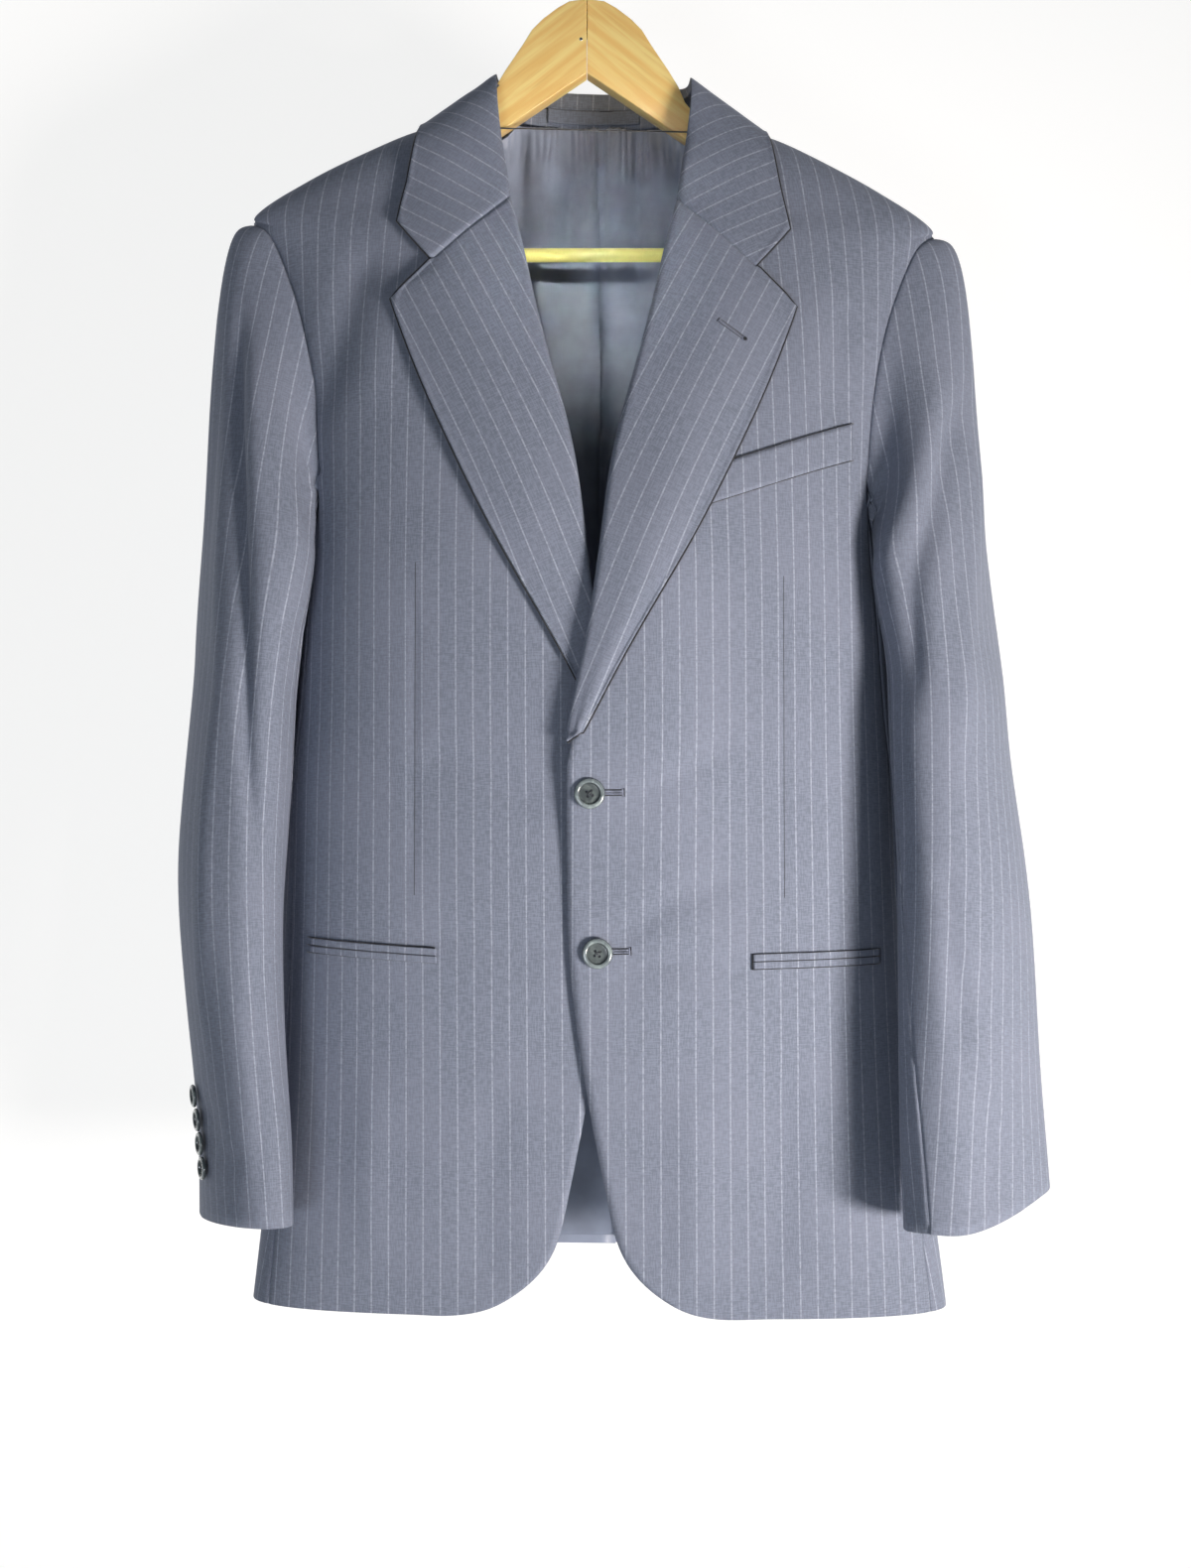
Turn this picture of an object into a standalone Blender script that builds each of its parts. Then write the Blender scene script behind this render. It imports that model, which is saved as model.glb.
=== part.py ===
"""Two-button notch-lapel suit jacket hanging on a wooden hanger with a trouser bar.

Axes: +X towards the jacket's own left sleeve, -Y out of its front, +Z up.
The origin is the inside top of the hanger's hook, where a rail carries it.
Lengths below are in millimetres. Heights in the tables count from the waist button line.
"""
from collections import namedtuple
from math import atan2, copysign, cos, hypot, pi, radians, sin

import bmesh
import bpy
from mathutils import Matrix, Vector

MM = 0.001
RAIL_HEIGHT = 612.0      # the rail seat above the waist line
SEAM_GAP = 0.3           # open gap between pieces that are sewn together

CLOTH = 2.0              # fused jacket front and back, wall thickness
SLEEVE_CLOTH = 1.6
FACING = 2.0             # lapel and collar
TRIM = 1.2               # welt, pocket jets and hanging loop
LINING = 1.0

HEM = -344.0
BACK_HEM_RISE = 17.0     # the back is cut this much shorter than the fronts
BREAK = 27.0             # where the lapel turns out of the front edge
NECK = 474.0             # back neck seam
UNDERARM = 152.0
EDGE_REACH = 17.0        # each front passes the centre line by this much
SLIP = 4.6               # the jacket has slipped this far along the hanger
DROP = 0.020             # hangs this much lower for each millimetre across
SWAY = 4.0               # and its hem has swung this far to its left

Torso = namedtuple("Torso", "height half_width front back widest squareness")
TORSO = (
    Torso(-345, 232, -78, 52, -22, 3.1),
    Torso(-220, 221, -82, 50, 0, 2.7),
    Torso(-100, 216, -86, 48, 14, 2.5),
    Torso(0, 213, -87, 49, 20, 2.4),
    Torso(60, 207, -88, 52, 20, 2.4),
    Torso(110, 203, -88, 55, 18, 2.4),
    Torso(152, 198, -87, 58, 14, 2.4),
    Torso(200, 195, -83, 60, 7, 2.4),
    Torso(250, 198, -77, 61, 4, 2.4),
    Torso(300, 206, -68, 60, 2, 2.4),
    Torso(350, 221, -53, 56, 1, 2.3),
    Torso(372, 229, -45, 52, 0, 2.3),
    Torso(384, 232, -40, 49, 0, 2.2),
    Torso(407, 197, -35, 48, 0, 2.2),
    Torso(425, 163, -31, 49, 0, 2.2),
    Torso(441, 129, -26, 51, 0, 2.2),
    Torso(446, 113, -23, 52, 0, 2.2),
    Torso(460, 88, -17, 53, 0, 2.2),
    Torso(474, 69, -12, 53, 0, 2.2),
)

# How far round the body the front and back reach, as a share of the half width.
Armhole = namedtuple("Armhole", "height front_share back_share")
ARMHOLE = (
    Armhole(-345, 0.940, 0.940),
    Armhole(200, 0.940, 0.950),
    Armhole(250, 0.938, 0.945),
    Armhole(300, 0.940, 0.945),
    Armhole(335, 0.946, 0.948),
    Armhole(360, 0.957, 0.958),
    Armhole(373, 0.972, 0.972),
    Armhole(384, 1.000, 1.000),
)
SHOULDER_END = 384.0
SEAM_PITCH = 200.0       # armhole height where the sleeve's two seams start
UNDERARM_COLUMNS = 4     # columns of the side panel, and of the sleeve over it

# Rows that the fronts, sides and backs share, so that their seams meet edge to edge.
HEM_LEVELS = (-344, -341, -334, -320, -298, -262, -205, -140)
BODY_LEVELS = (-90, -40, 5, 27, 48, 80, 121)
ARMHOLE_LEVELS = (152, 200, 250, 300, 335, 360, 373, 384)
SHOULDER_LEVELS = (396, 411, 427, 441, 447, 461)

Roll = namedtuple("Roll", "height across edge_height edge_across lift")
LAPEL = (
    Roll(27, -16.8, 33, -8.0, 3.4),
    Roll(48, -13.5, 54, 3.0, 3.8),
    Roll(80, -6.5, 86, 20.0, 4.4),
    Roll(121, 1.0, 125, 42.5, 5.0),
    Roll(170, 7.5, 168, 67.0, 5.4),
    Roll(220, 15.0, 214, 90.0, 5.6),
    Roll(270, 28.0, 262, 112.0, 5.6),
    Roll(322, 41.0, 315, 132.5, 5.4),
    Roll(357, 48.5, 329, 118.5, 5.4),
    Roll(389, 56.0, 342, 105.5, 5.4),
)
# The collar's two stations between its last one above and the gorge lie on the fronts too.
COLLAR_FRONT = (
    Roll(429, 62.8, 398, 124.0, 5.6),
    Roll(408, 59.3, 369, 129.8, 5.6),
    LAPEL[-1],
)

# The collar's cross-section at stations from the centre back round to the gorge.
Collar = namedtuple(
    "Collar", "foot_x foot_y foot_z fold_x fold_y fold_z edge_x edge_y edge_z")
COLLAR = (
    Collar(0, 49.5, 480, 0, 51.0, 491.7, 0, 61.0, 446),
    Collar(27, 46.8, 480, 27, 48.2, 491.3, 36, 59.5, 446),
    Collar(48, 38.0, 479.6, 47, 39.5, 489.8, 72, 51.5, 449),
    Collar(61, 24.5, 479, 60, 25.5, 487.0, 98, 36.0, 450),
    Collar(66, 9.0, 478.6, 66, 9.0, 483.6, 113, 14.0, 449.5),
    Collar(66.6, -8.0, 477.5, 66.8, -9.5, 482.0, 117.0, -9.5, 446.5),
    Collar(66.0, -18.0, 456, 66.3, -22.0, 462.0, 119.0, -28.5, 429),
)


# A sleeve below the bicep: ring centre, half thickness, half breadth and how far it has turned.
Ring = namedtuple("Ring", "height across depth half_thick half_broad turn twist")
RIGHT_SLEEVE = (         # the wearer's right, at -X; across counts outwards
    Ring(120, 233, -14, 32, 69, 23, 0),
    Ring(70, 234, -22, 33, 67, 20, 4),
    Ring(20, 236, -31, 34, 66, 19, 12),
    Ring(-40, 239, -42, 34, 64, 20, 24),
    Ring(-100, 239, -52, 32, 62, 21, 38),
    Ring(-165, 235, -61, 29, 60, 22, 52),
    Ring(-222, 230, -69, 27, 59, 24, 62),
    Ring(-277, 228, -76, 25, 59, 27, 70),
)
LEFT_SLEEVE = (          # the wearer's left, at +X
    Ring(120, 235, -14, 33, 70, 25, 0),
    Ring(70, 237, -24, 36, 68, 24, 0),
    Ring(20, 239, -32, 36, 67, 27, -4),
    Ring(-40, 243, -43, 36, 66, 32, -14),
    Ring(-100, 244, -54, 36, 64, 38, -28),
    Ring(-165, 243, -64, 35, 62, 43, -42),
    Ring(-225, 243, -72, 34, 61, 47, -54),
    Ring(-282, 244, -79, 33, 60, 50, -60),
)
CAP_STEPS = (0.0, 0.12, 0.3, 0.6)   # rows from the armhole to the bicep
CAP_FULLNESS = {-1: 24.0, 1: 34.0}  # how far the sleeve head leaves the armhole outwards
CUFF_RISE = {-1: 0.0, 1: 24.0}      # how much higher the cuff's outer side stands

FRONT_BUTTON = (10.0, 3.2)          # radius and thickness
SLEEVE_BUTTON = (7.5, 2.6)
FRONT_BUTTONS = ((-2.5, -6.0), (1.5, -108.0))   # across and height of each
SLEEVE_BUTTON_FIRST = -205.0        # height of the top one of four
SLEEVE_BUTTON_PITCH = 15.5

WELT = {"inner": 68.0, "outer": 171.0, "bottom": 178.6, "rise": 0.377, "depth": 24.0}
POCKET = {"inner": 102.0, "outer": 188.0, "bottom": -117.0, "rise": 0.03, "depth": 4.4}
LOOP = {"half_length": 34.0, "top": 478.5, "width": 10.0}

HANGER_THICKNESS = 14.0
HANGER_TOP = ((0, 535.6), (12, 534), (20, 529.5), (30, 522), (37.5, 514.5), (44, 504),
              (55.5, 487), (62.5, 475.5), (67, 465), (74, 456.5), (86, 448), (114, 432),
              (165, 407), (200, 389), (211, 376))
HANGER_UNDER = ((208, 350), (186, 347), (160, 365), (114, 403), (73, 436), (0, 485))
BAR = {"radius": 4.7, "height": 362.6, "half_length": 184.0}
HOOK = {"wire": 1.8, "radius": 19.0, "socket": 18.0}


def smooth_row(rows, height):
    """The table's row at any height, on a smooth curve through the rows given."""
    height = min(max(height, rows[0].height), rows[-1].height)
    i = next(k for k in range(1, len(rows)) if height <= rows[k].height)
    low, high = rows[i - 1], rows[i]
    before, after = rows[max(i - 2, 0)], rows[min(i + 1, len(rows) - 1)]
    span = high.height - low.height
    t = (height - low.height) / span
    values = [height]
    for a, b, c, d in zip(before[1:], low[1:], high[1:], after[1:]):
        slope_low = (c - a) / (high.height - before.height) * span
        slope_high = (d - b) / (after.height - low.height) * span
        values.append(
            (2 * t**3 - 3 * t**2 + 1) * b + (t**3 - 2 * t**2 + t) * slope_low
            + (3 * t**2 - 2 * t**3) * c + (t**3 - t**2) * slope_high)
    return type(low)(*values)


def straight_row(rows, height):
    """The same, on straight lines between the rows."""
    height = min(max(height, rows[0].height), rows[-1].height)
    i = next(k for k in range(1, len(rows)) if height <= rows[k].height)
    low, high = rows[i - 1], rows[i]
    t = (height - low.height) / (high.height - low.height)
    return type(low)(*(a + (b - a) * t for a, b in zip(low, high)))


def fade(value, start, end):
    """0 before start and 1 after end, smooth between."""
    t = min(max((value - start) / (end - start), 0.0), 1.0)
    return t * t * (3 - 2 * t)


def torso_point(angle, height):
    """A point of the body's outer form: angle 0 at the centre front, pi at the centre back."""
    height += BACK_HEM_RISE * fade(-height, 200, -HEM) * fade(angle, 1.6, 2.7)
    row = smooth_row(TORSO, height)
    power = 2 / row.squareness
    across, along = sin(angle), cos(angle)
    reach = row.widest - row.front if along > 0 else row.back - row.widest
    return Vector((
        row.half_width * copysign(abs(across) ** power, across),
        row.widest - copysign(abs(along) ** power, along) * reach,
        height))


def angle_at(across, height, back=False):
    """The angle at which the body's form is that far across."""
    row = smooth_row(TORSO, height)
    share = min(abs(across) / row.half_width, 1.0) ** (row.squareness / 2)
    angle = copysign(atan2(share, (1 - share**2) ** 0.5), across)
    return pi - angle if back else angle


def armhole_angle(height, back=False):
    row = smooth_row(ARMHOLE, min(height, SHOULDER_END))
    share = row.back_share if back else row.front_share
    return angle_at(share * smooth_row(TORSO, height).half_width, height, back)


def normal_of(surface, u, v):
    """The unit normal of a surface of two parameters, from small steps along each."""
    step = 0.004
    along_u = surface(u + step, v) - surface(u - step, v)
    along_v = surface(u, v + step) - surface(u, v - step)
    return along_u.cross(along_v).normalized()


def to_world(point):
    return (point - Vector((0, 0, RAIL_HEIGHT))) * MM


def sway(height):
    return SWAY * fade(-height, 0, -HEM)


def hung(point):
    """A point of the jacket, where the jacket hangs on the hanger."""
    drop = DROP * (1 - 0.1 * sway(point.z)) * point.x
    return to_world(point + Vector((SLIP + sway(point.z), 0, -drop)))


def spread(levels):
    """A function from 0..1 to the listed levels, carried on past both ends."""
    count = len(levels) - 1

    def level(v):
        i = min(max(int(v * count), 0), count - 1)
        return levels[i] + (levels[i + 1] - levels[i]) * (v * count - i)
    return level


def new_object(name, mesh_data, material):
    mesh_data.materials.append(material)
    piece = bpy.data.objects.new(name, mesh_data)
    jacket.objects.link(piece)
    return piece


def finish(shape, name, material, sharp=40):
    """Closes a bmesh into an object with clean outward normals."""
    bmesh.ops.recalc_face_normals(shape, faces=shape.faces[:])
    mesh_data = bpy.data.meshes.new(name)
    shape.to_mesh(mesh_data)
    shape.free()
    mesh_data.shade_smooth()
    mesh_data.set_sharp_from_angle(angle=radians(sharp))
    return new_object(name, mesh_data, material)


def cloth_wall(name, surface, columns, rows, thickness, material, outside=1, trim=(1, 1, 1, 1)):
    """A sheet of cloth on surface(u, v), thickened inwards to one closed wall.

    trim says which edges (u start, u end, v start, v end) give up half a seam gap.
    """
    width = (surface(1, 0.5) - surface(0, 0.5)).length
    length = (surface(0.5, 1) - surface(0.5, 0)).length
    u_step, v_step = SEAM_GAP / 2 / width, SEAM_GAP / 2 / length
    u0, u1 = u_step * trim[0], 1 - u_step * trim[1]
    v0, v1 = v_step * trim[2], 1 - v_step * trim[3]
    sheet = bmesh.new()
    bmesh.ops.create_grid(sheet, x_segments=columns, y_segments=rows, size=0.5)
    raised = bmesh.ops.extrude_face_region(sheet, geom=sheet.faces[:], use_keep_orig=True)
    inner = {v for v in raised["geom"] if isinstance(v, bmesh.types.BMVert)}
    for vertex in sheet.verts:
        u = u0 + (vertex.co.x + 0.5) * (u1 - u0)
        v = v0 + (vertex.co.y + 0.5) * (v1 - v0)
        point = surface(u, v)
        if vertex in inner:
            point = point - outside * thickness * normal_of(surface, u, v)
        vertex.co = hung(point)
    return finish(sheet, name, material)


# ---------------------------------------------------------------- the body

def front_edge(side, height):
    """How far the front's free edge stands from the centre line, outwards."""
    drop = max(-20 - height, 0.0)
    edge = -EDGE_REACH + 33.7 * (drop / 265) ** 1.82
    edge -= side * (3.8 * fade(drop, 0, 110) + sway(height))
    corner = min(max(-290 - height, 0.0) / (-290 - HEM), 1.0)
    return edge + 58 * (1 - (1 - corner**2) ** 0.5)


def roll_line(height):
    """The fold of the lapel, outwards from the centre line; the neck point lies above it."""
    if height > LAPEL[-1].height:
        return LAPEL[-1].across + (height - LAPEL[-1].height) * 0.17
    return straight_row(LAPEL, height).across


def over_lift(side, across, height):
    """How far the left front, which buttons over the right, stands off the body's form."""
    if side < 0:
        return 0.0
    button_stand = 3.6 * (1 - fade(across, 45, 120))
    lapel_cross = 8.4 * fade(height, -70, 40) * (1 - fade(height, 135, 235))
    return button_stand * (1 - fade(height, 200, 330)) + lapel_cross * (1 - fade(across, 25, 105))


def front_surface(side, across, height, lift=0.0):
    """A point over the front, across outwards from the centre line."""
    point = torso_point(angle_at(across, height), height)
    point.y -= over_lift(side, across, height) + lift
    point.x *= side
    return point


def front_panel(side, material):
    level = spread(HEM_LEVELS + BODY_LEVELS + ARMHOLE_LEVELS + SHOULDER_LEVELS)

    def surface(u, v):
        height = level(v)
        inner = front_edge(side, height) if height < BREAK else roll_line(height) + 3.2
        inner += 2.0 * fade(height, 380, 410)
        start = angle_at(inner, height)
        end = armhole_angle(height) if height < SHOULDER_END else pi / 2
        angle = start + u * (end - start)
        point = torso_point(angle, height)
        point.y -= over_lift(side, point.x, height)
        point.x *= side
        return point

    rows = len(HEM_LEVELS + BODY_LEVELS + ARMHOLE_LEVELS + SHOULDER_LEVELS) - 1
    return cloth_wall(f"front_{NAMES[side]}", surface, 10, rows, CLOTH, material, side,
                      trim=(0, 1, 0, 0))


def side_panel(side, material):
    """The underarm panel, its top cut to the foot of the armhole."""
    level = spread(HEM_LEVELS + BODY_LEVELS + ARMHOLE_LEVELS[:2])
    foot = BODY_LEVELS[-1]

    def surface(u, v):
        height = level(v)
        start, end = armhole_angle(height), armhole_angle(height, back=True)
        scoop = 4 * u * (1 - u)
        share = max(height - foot, 0.0) / (ARMHOLE_LEVELS[1] - foot)
        lowered = height - share * scoop * (ARMHOLE_LEVELS[1] - UNDERARM)
        point = torso_point(start + u * (end - start), lowered)
        point.x *= side
        return point

    rows = len(HEM_LEVELS + BODY_LEVELS) + 1
    return cloth_wall(f"side_{NAMES[side]}", surface, UNDERARM_COLUMNS, rows, CLOTH, material,
                      side, trim=(1, 1, 0, 0))


def back_panel(side, material):
    """Half of the back. Below the vent's top the halves pass each other, the left one outside."""
    levels = HEM_LEVELS + BODY_LEVELS + ARMHOLE_LEVELS + SHOULDER_LEVELS
    level = spread(levels)
    reach = {1: 30.0, -1: 5.0}[side]

    def surface(u, v):
        height = level(v)
        start = armhole_angle(height, back=True) if height < SHOULDER_END else pi / 2
        vent = 1 - fade(height, HEM_LEVELS[-1], BODY_LEVELS[0])
        angle = start + u * (pi + vent * reach / 420 - start)
        point = torso_point(angle, height)
        if side > 0:
            stand = 1 - fade(height, BODY_LEVELS[0], BODY_LEVELS[1])
            point.y += 2.8 * stand * fade(angle, pi - 0.6, pi - 0.12)
        point.x *= side
        return point

    return cloth_wall(f"back_{NAMES[side]}", surface, 7, len(levels) - 1, CLOTH, material, side,
                      trim=(1, 1, 0, 1))


def lining_panel(side, material):
    """Half of the back lining. The left half laps the right one in the centre pleat."""
    levels = (HEM + 8, -285, -225, -150, -70, 20, 110, 200, 290, 370, 425, 445, 465)
    level = spread(levels)
    reach = {1: -4.0, -1: 16.0}[side]

    def surface(u, v):
        height = level(v)
        start = armhole_angle(min(height, 350), back=True) + 0.10 + 0.42 * fade(height, 350, 465)
        angle = start + u * (pi + reach / 420 - start)
        point = torso_point(angle, height)
        around = torso_point(angle + 0.01, height) - torso_point(angle - 0.01, height)
        upward = torso_point(angle, height + 1) - torso_point(angle, height - 1)
        outward = around.cross(upward).normalized()
        point += outward * -(6.0 - 2.0 * fade(height, 430, 465))
        point.y -= (1.8 if side > 0 else 0.0) * fade(angle, pi - 0.35, pi - 0.1)
        point.x *= side
        return point

    return cloth_wall(f"lining_back_{NAMES[side]}", surface, 6, len(levels) - 1, LINING,
                      material, -side, trim=(0, 0, 0, 0))


# ---------------------------------------------------------------- lapels and collar

# The facing's section where it wraps the roll: across from the fold, and depth behind the front.
ROLL_SECTION = ((13.0, 5.2), (5.0, 5.4), (0.2, 4.6), (-1.6, 1.2), (0.2, -2.4), (5.0, -3.9))
LEAF_COLUMNS = 5


def facing_point(side, row, step):
    """The facing's outer face on one roll row: step counts its columns from the inner edge."""
    width = hypot(row.edge_across - row.across, row.edge_height - row.height)
    narrow = min(0.5 + width / 48, 1.0)
    wrapped = len(ROLL_SECTION) - 1
    if step <= wrapped:
        across, depth = spread_pair(ROLL_SECTION, step)
        share = across * narrow / width
        lift = -depth * (narrow if depth < 0 else 1.0)
    else:
        across, depth = ROLL_SECTION[-1]
        start, rise = across * narrow / width, -depth * narrow
        leaf = (step - wrapped) / LEAF_COLUMNS
        share = start + (1 - start) * leaf
        lift = rise + (row.lift - rise) * fade(leaf, 0, 0.6) + 1.5 * narrow * sin(pi * min(leaf, 1))
    across = row.across + (row.edge_across - row.across) * share
    height = row.height + (row.edge_height - row.height) * share
    if side < 0 and height < 150:
        lift = min(lift, 3.4)
    return front_surface(side, across, height, lift)


def lapel(side, material):
    """The facing, wrapped round the roll line and laid out over the chest."""
    columns = len(ROLL_SECTION) - 1 + LEAF_COLUMNS

    def surface(u, v):
        place = v * (len(LAPEL) - 1)
        i = min(max(int(place), 0), len(LAPEL) - 2)
        row = Roll(*(a + (b - a) * (place - i) for a, b in zip(LAPEL[i], LAPEL[i + 1])))
        return facing_point(side, row, u * columns)

    return cloth_wall(f"lapel_{NAMES[side]}", surface, columns, len(LAPEL) - 1, FACING,
                      material, side, trim=(0, 0, 0, 1))


def spread_pair(pairs, step):
    """A point between listed pairs, carried on past both ends."""
    i = min(max(int(step), 0), len(pairs) - 2)
    t = step - i
    return tuple(a + (b - a) * t for a, b in zip(pairs[i], pairs[i + 1]))


def collar(material):
    """The top collar: its stand inside the neck, the fold and the leaf, sewn to the lapels."""
    half = len(COLLAR) + len(COLLAR_FRONT) - 1
    stand, leaf = 2, 5
    columns = len(ROLL_SECTION) - 1 + LEAF_COLUMNS
    fold_step = 3.0          # where the facing's own section folds

    def station_point(i, side, step):
        if i >= len(COLLAR):
            part = (1 + (fold_step - 1) * step / stand if step <= stand else
                    fold_step + (columns - fold_step) * (step - stand) / leaf)
            return facing_point(side, COLLAR_FRONT[i - len(COLLAR)], part)
        row = COLLAR[i]
        foot = Vector((row.foot_x, row.foot_y, row.foot_z))
        fold = Vector((row.fold_x, row.fold_y, row.fold_z))
        edge = Vector((row.edge_x, row.edge_y, row.edge_z))
        if step <= stand:
            point = foot + (fold - foot) * (step / stand)
        else:
            share = (step - stand) / leaf
            outward = Vector((edge.x - fold.x, edge.y - fold.y, 0)).normalized()
            puff = 2.4 * fade(share, 0, 0.2) * (1 - share) * fade(abs(fold.y), 8, 40)
            point = fold + (edge - fold) * share + outward * puff
        point.x *= side
        return point

    def surface(u, v):
        station = (v * 2 - 1) * half
        side = 1 if station >= 0 else -1
        i = min(int(abs(station)), half - 1)
        step = u * (stand + leaf)
        near, far = station_point(i, side, step), station_point(i + 1, side, step)
        return near + (far - near) * (abs(station) - i)

    return cloth_wall("collar", surface, stand + leaf, 2 * half, FACING, material, -1,
                      trim=(0, 0, 2, 2))


def neck_strip(name, half_length, top, width, inset, thickness, columns, material):
    """A strip across the inside of the back neck, that far inside the back's form."""
    def surface(u, v):
        height = top - width * (1 - v)
        x = (2 * u - 1) * half_length
        level = min(height, NECK)
        point = torso_point(angle_at(abs(x), level, back=True), level)
        ahead = torso_point(angle_at(abs(x), level, back=True) - 0.01, level)
        along = (ahead - point).normalized()
        point.x *= copysign(1, x)
        side = Vector((-along.y * copysign(1, x), along.x, 0))
        point += side * inset if side.y < 0 else side * -inset
        point.z = height
        return point

    return cloth_wall(name, surface, columns, 1, thickness, material, 1, trim=(0, 0, 0, 0))


# ---------------------------------------------------------------- sleeves

def armhole_ring(side):
    """The armhole's edge from the shoulder, down the front, under and up the back."""
    front = [h for h in reversed(ARMHOLE_LEVELS[1:])]
    ring = [torso_point(armhole_angle(h) if h < SHOULDER_END else pi / 2, h) for h in front]
    start, end = armhole_angle(200), armhole_angle(200, back=True)
    for k in range(1, UNDERARM_COLUMNS):
        u = k / UNDERARM_COLUMNS
        ring.append(torso_point(start + u * (end - start),
                                200 - 4 * u * (1 - u) * (200 - UNDERARM)))
    ring += [torso_point(armhole_angle(h, back=True), h) for h in ARMHOLE_LEVELS[1:-1]]
    return [Vector((p.x * side, p.y, p.z)) for p in ring]


def ring_angles(ring):
    """Each point's angle round the sleeve, by its share of the ring's length."""
    steps = [(ring[(k + 1) % len(ring)] - ring[k]).length for k in range(len(ring))]
    total, run, angles = sum(steps), 0.0, []
    for step in steps:
        angles.append(2 * pi * run / total)
        run += step
    return angles


def sleeve_point(side, rings, angle, height):
    """A point of the sleeve below the bicep: angle 0 outside, a quarter turn at the front."""
    row = straight_row(rings[::-1], height)
    turn, angle = radians(row.turn), angle + radians(row.twist)
    outward = Vector((cos(turn) * side, -sin(turn), 0))
    forward = Vector((-sin(turn) * side, -cos(turn), 0))
    centre = Vector((row.across * side, row.depth, height))
    power = 2 / 2.1
    thick = copysign(abs(cos(angle)) ** power, cos(angle)) * row.half_thick
    broad = copysign(abs(sin(angle)) ** power, sin(angle)) * row.half_broad
    point = centre + outward * thick + forward * broad
    cuff = fade(-height, 170, -rings[-1].height) * fade(point.x * side, row.across - 20,
                                                        row.across + 55)
    point.z += CUFF_RISE[side] * cuff
    return point


def cap_point(side, rings, start, angle, share):
    """Between the armhole (share 0) and the bicep (share 1)."""
    bicep = rings[0].height
    end = sleeve_point(side, rings, angle, bicep)
    span = (end - start).length
    leave = Vector((side * (0.30 * span + CAP_FULLNESS[side]), 0, 0))
    arrive = (end - sleeve_point(side, rings, angle, bicep - 10)).normalized() * -(0.85 * span + 6)
    t = share
    return ((2 * t**3 - 3 * t**2 + 1) * start + (t**3 - 2 * t**2 + t) * leave
            + (3 * t**2 - 2 * t**3) * end + (t**3 - t**2) * arrive)


def sleeve_panel(side, rings, first, last, name, material):
    """The columns of the armhole ring from first to last, carried down to the cuff."""
    ring = armhole_ring(side)
    angles = ring_angles(ring)
    count = len(ring)
    columns = (last - first) % count
    shares = spread(CAP_STEPS + (1.0,))
    caps = len(CAP_STEPS)
    heights = spread(tuple(row.height for row in rings))
    rows = caps + len(rings) - 1

    def surface(u, v):
        place, step = u * columns, v * rows
        i = min(max(int(place), 0), columns - 1)
        a, b, t = (first + i) % count, (first + i + 1) % count, place - i
        angle = angles[a] + (angles[b] + (2 * pi if angles[b] < angles[a] else 0) - angles[a]) * t
        clear = SEAM_GAP + 0.15 * max(cos(angle), 0.0)
        start = ring[a] + (ring[b] - ring[a]) * t + Vector((side * clear, 0, 0))
        if step <= caps:
            return cap_point(side, rings, start, angle, shares(step / caps))
        return sleeve_point(side, rings, angle, heights((step - caps) / (len(rings) - 1)))

    return cloth_wall(name, surface, columns, rows, SLEEVE_CLOTH, material, side,
                      trim=(3, 3, 0, 0))


# ---------------------------------------------------------------- trims and buttons

def laid_strip(name, side, inner, outer, bottom, rise, depth, gap, columns, material):
    """A strip sewn on a front, cut to the front's own form and moved out by its gap."""
    def surface(u, v):
        across = inner + u * (outer - inner)
        height = bottom + rise * (across - inner) + depth * v
        return front_surface(side, across, height, gap + TRIM)

    return cloth_wall(name, surface, columns, 1, TRIM, material, side, trim=(0, 0, 0, 0))


def button_mesh(name, radius, thickness):
    """A four-hole horn button: a dished face inside a raised rim."""
    profile = ((0.0, -0.5), (0.72, -0.5), (1.0, -0.12), (1.0, 0.22), (0.9, 0.5),
               (0.76, 0.42), (0.62, 0.1), (0.0, 0.1))
    body = bmesh.new()
    corners = [body.verts.new((r * radius * MM, 0, h * thickness * MM)) for r, h in profile]
    edges = [body.edges.new(pair) for pair in zip(corners, corners[1:])]
    bmesh.ops.spin(body, geom=corners + edges, cent=(0, 0, 0), axis=(0, 0, 1), angle=2 * pi,
                   steps=20, use_merge=True)
    bmesh.ops.remove_doubles(body, verts=body.verts[:], dist=1e-6)
    bmesh.ops.recalc_face_normals(body, faces=body.faces[:])
    mesh_data = bpy.data.meshes.new(name)
    body.to_mesh(mesh_data)
    body.free()
    return mesh_data


def drilled(piece, cutters):
    """The piece's mesh with each cutter taken away."""
    for cutter in cutters:
        cut = piece.modifiers.new(f"cut_{cutter.name}", "BOOLEAN")
        cut.operation = "DIFFERENCE"
        cut.object = cutter
    graph = bpy.context.evaluated_depsgraph_get()
    mesh_data = bpy.data.meshes.new_from_object(piece.evaluated_get(graph))
    piece.modifiers.clear()
    return mesh_data


def rod(name, start, end, radius, sides, collection, material=None):
    """A round rod between two points, in millimetres."""
    start, end = to_world(Vector(start)), to_world(Vector(end))
    shape = bmesh.new()
    length = (end - start).length
    bmesh.ops.create_cone(shape, cap_ends=True, segments=sides, radius1=radius * MM,
                          radius2=radius * MM, depth=length)
    aim = (end - start).to_track_quat("Z", "Y").to_matrix().to_4x4()
    bmesh.ops.transform(shape, matrix=Matrix.Translation((start + end) / 2) @ aim,
                        verts=shape.verts[:])
    mesh_data = bpy.data.meshes.new(name)
    shape.to_mesh(mesh_data)
    shape.free()
    piece = bpy.data.objects.new(name, mesh_data)
    collection.objects.link(piece)
    if material:
        mesh_data.materials.append(material)
    return piece


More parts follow.
